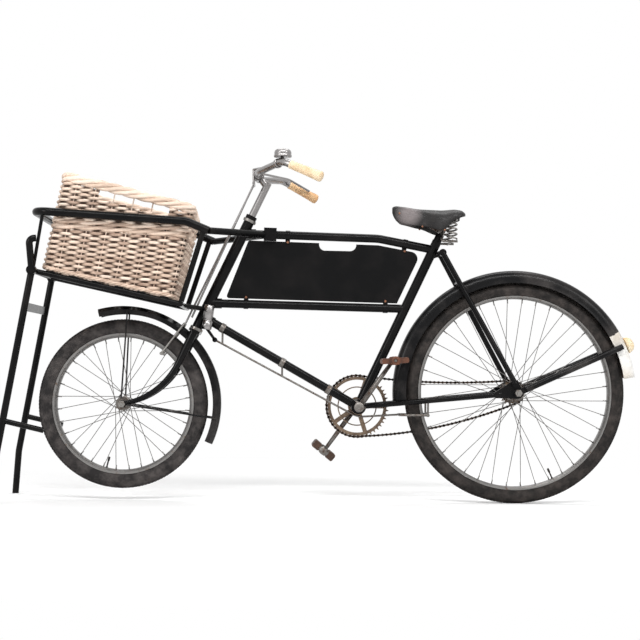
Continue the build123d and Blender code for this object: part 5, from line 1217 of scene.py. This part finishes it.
# Camera, floor and light, in metres
SEEN_FROM = Vector((-0.1324, -4.2228, 0.4088))
SEEN_AT = Vector((-0.0061, 0.0, 0.5436))
CAMERA_ROLL = math.radians(0.69)
LAMPS = [  # name, place, length, width, watts
    ("long_box", (0.0, -2.6, 3.3), 4.4, 0.45, 108.0),
    ("left_box", (-3.2, -2.8, 1.7), 1.0, 1.0, 36.0),
    ("right_box", (3.0, -2.8, 2.4), 1.2, 1.2, 30.0),
    ("back_box", (0.2, 1.0, 3.6), 3.0, 0.8, 50.0),
]
LIGHT_ROUND = 0.55  # the backdrop's own light on the bicycle
FADE_FROM, FADE_TO = 0.9, 1.9  # the floor passes into the backdrop


def aimed(holder, spot, target, roll=0.0):
    turn = (target - Vector(spot)).to_track_quat("-Z", "Y").to_matrix() @ Matrix.Rotation(roll, 3, "Z")
    holder.matrix_world = Matrix.Translation(spot) @ turn.to_4x4()


def seen_rays(tree):
    """1 for the rays that show the backdrop: straight, mirrored or passed through."""
    rays = add(tree, "ShaderNodeLightPath").outputs
    first = calc(tree, "MAXIMUM", rays["Is Camera Ray"], rays["Is Glossy Ray"])
    return calc(tree, "MAXIMUM", first, rays["Is Transmission Ray"])


def camera_and_lamps():
    camera = bpy.data.cameras.new("camera")
    camera.lens = 79.05
    camera.sensor_width = 36.0
    scene.camera = shown("camera", camera)
    aimed(scene.camera, SEEN_FROM, SEEN_AT, CAMERA_ROLL)
    for name, spot, length, width, watts in LAMPS:
        lamp = bpy.data.lights.new(name, "AREA")
        lamp.shape = "RECTANGLE"
        lamp.energy = watts
        lamp.size = length
        lamp.size_y = width
        aimed(shown(name, lamp), spot, Vector((spot[0] / 4, 0, 0.5)))


def backdrop():
    world = bpy.data.worlds.new("studio")
    world.use_nodes = True
    scene.world = world
    tree = world.node_tree
    back = tree.nodes["Background"]
    back.inputs["Color"].default_value = WHITE
    tree.links.new(between(tree, seen_rays(tree), LIGHT_ROUND, 1.0), back.inputs["Strength"])


def pale_floor():
    shape = bmesh.new()
    bmesh.ops.create_grid(shape, x_segments=8, y_segments=8, size=14.0)
    mesh = bpy.data.meshes.new("floor")
    shape.to_mesh(mesh)
    shape.free()
    material, tree, shader = finish("pale_floor", {"Roughness": 0.9, "Specular IOR Level": 0.1})
    wire(tree, shader, tint=mixed(tree, cloud(tree, 3.0), (0.94, 0.94, 0.94, 1), (0.97, 0.97, 0.97, 1)))
    glow = add(tree, "ShaderNodeEmission", {"Color": WHITE, "Strength": 1.0})
    away = add(tree, "ShaderNodeVectorMath", {0: place(tree)}, operation="LENGTH").outputs["Value"]
    fade = add(tree, "ShaderNodeMapRange", {"Value": away, "From Min": FADE_FROM, "From Max": FADE_TO},
               interpolation_type="SMOOTHSTEP").outputs["Result"]
    share = calc(tree, "MULTIPLY", fade, seen_rays(tree))
    blend = add(tree, "ShaderNodeMixShader", {0: share, 1: shader.outputs[0], 2: glow.outputs[0]})
    tree.links.new(blend.outputs[0], tree.nodes["Material Output"].inputs["Surface"])
    mesh.materials.append(material)
    floor = shown("floor", mesh)


camera_and_lamps()
backdrop()
pale_floor()
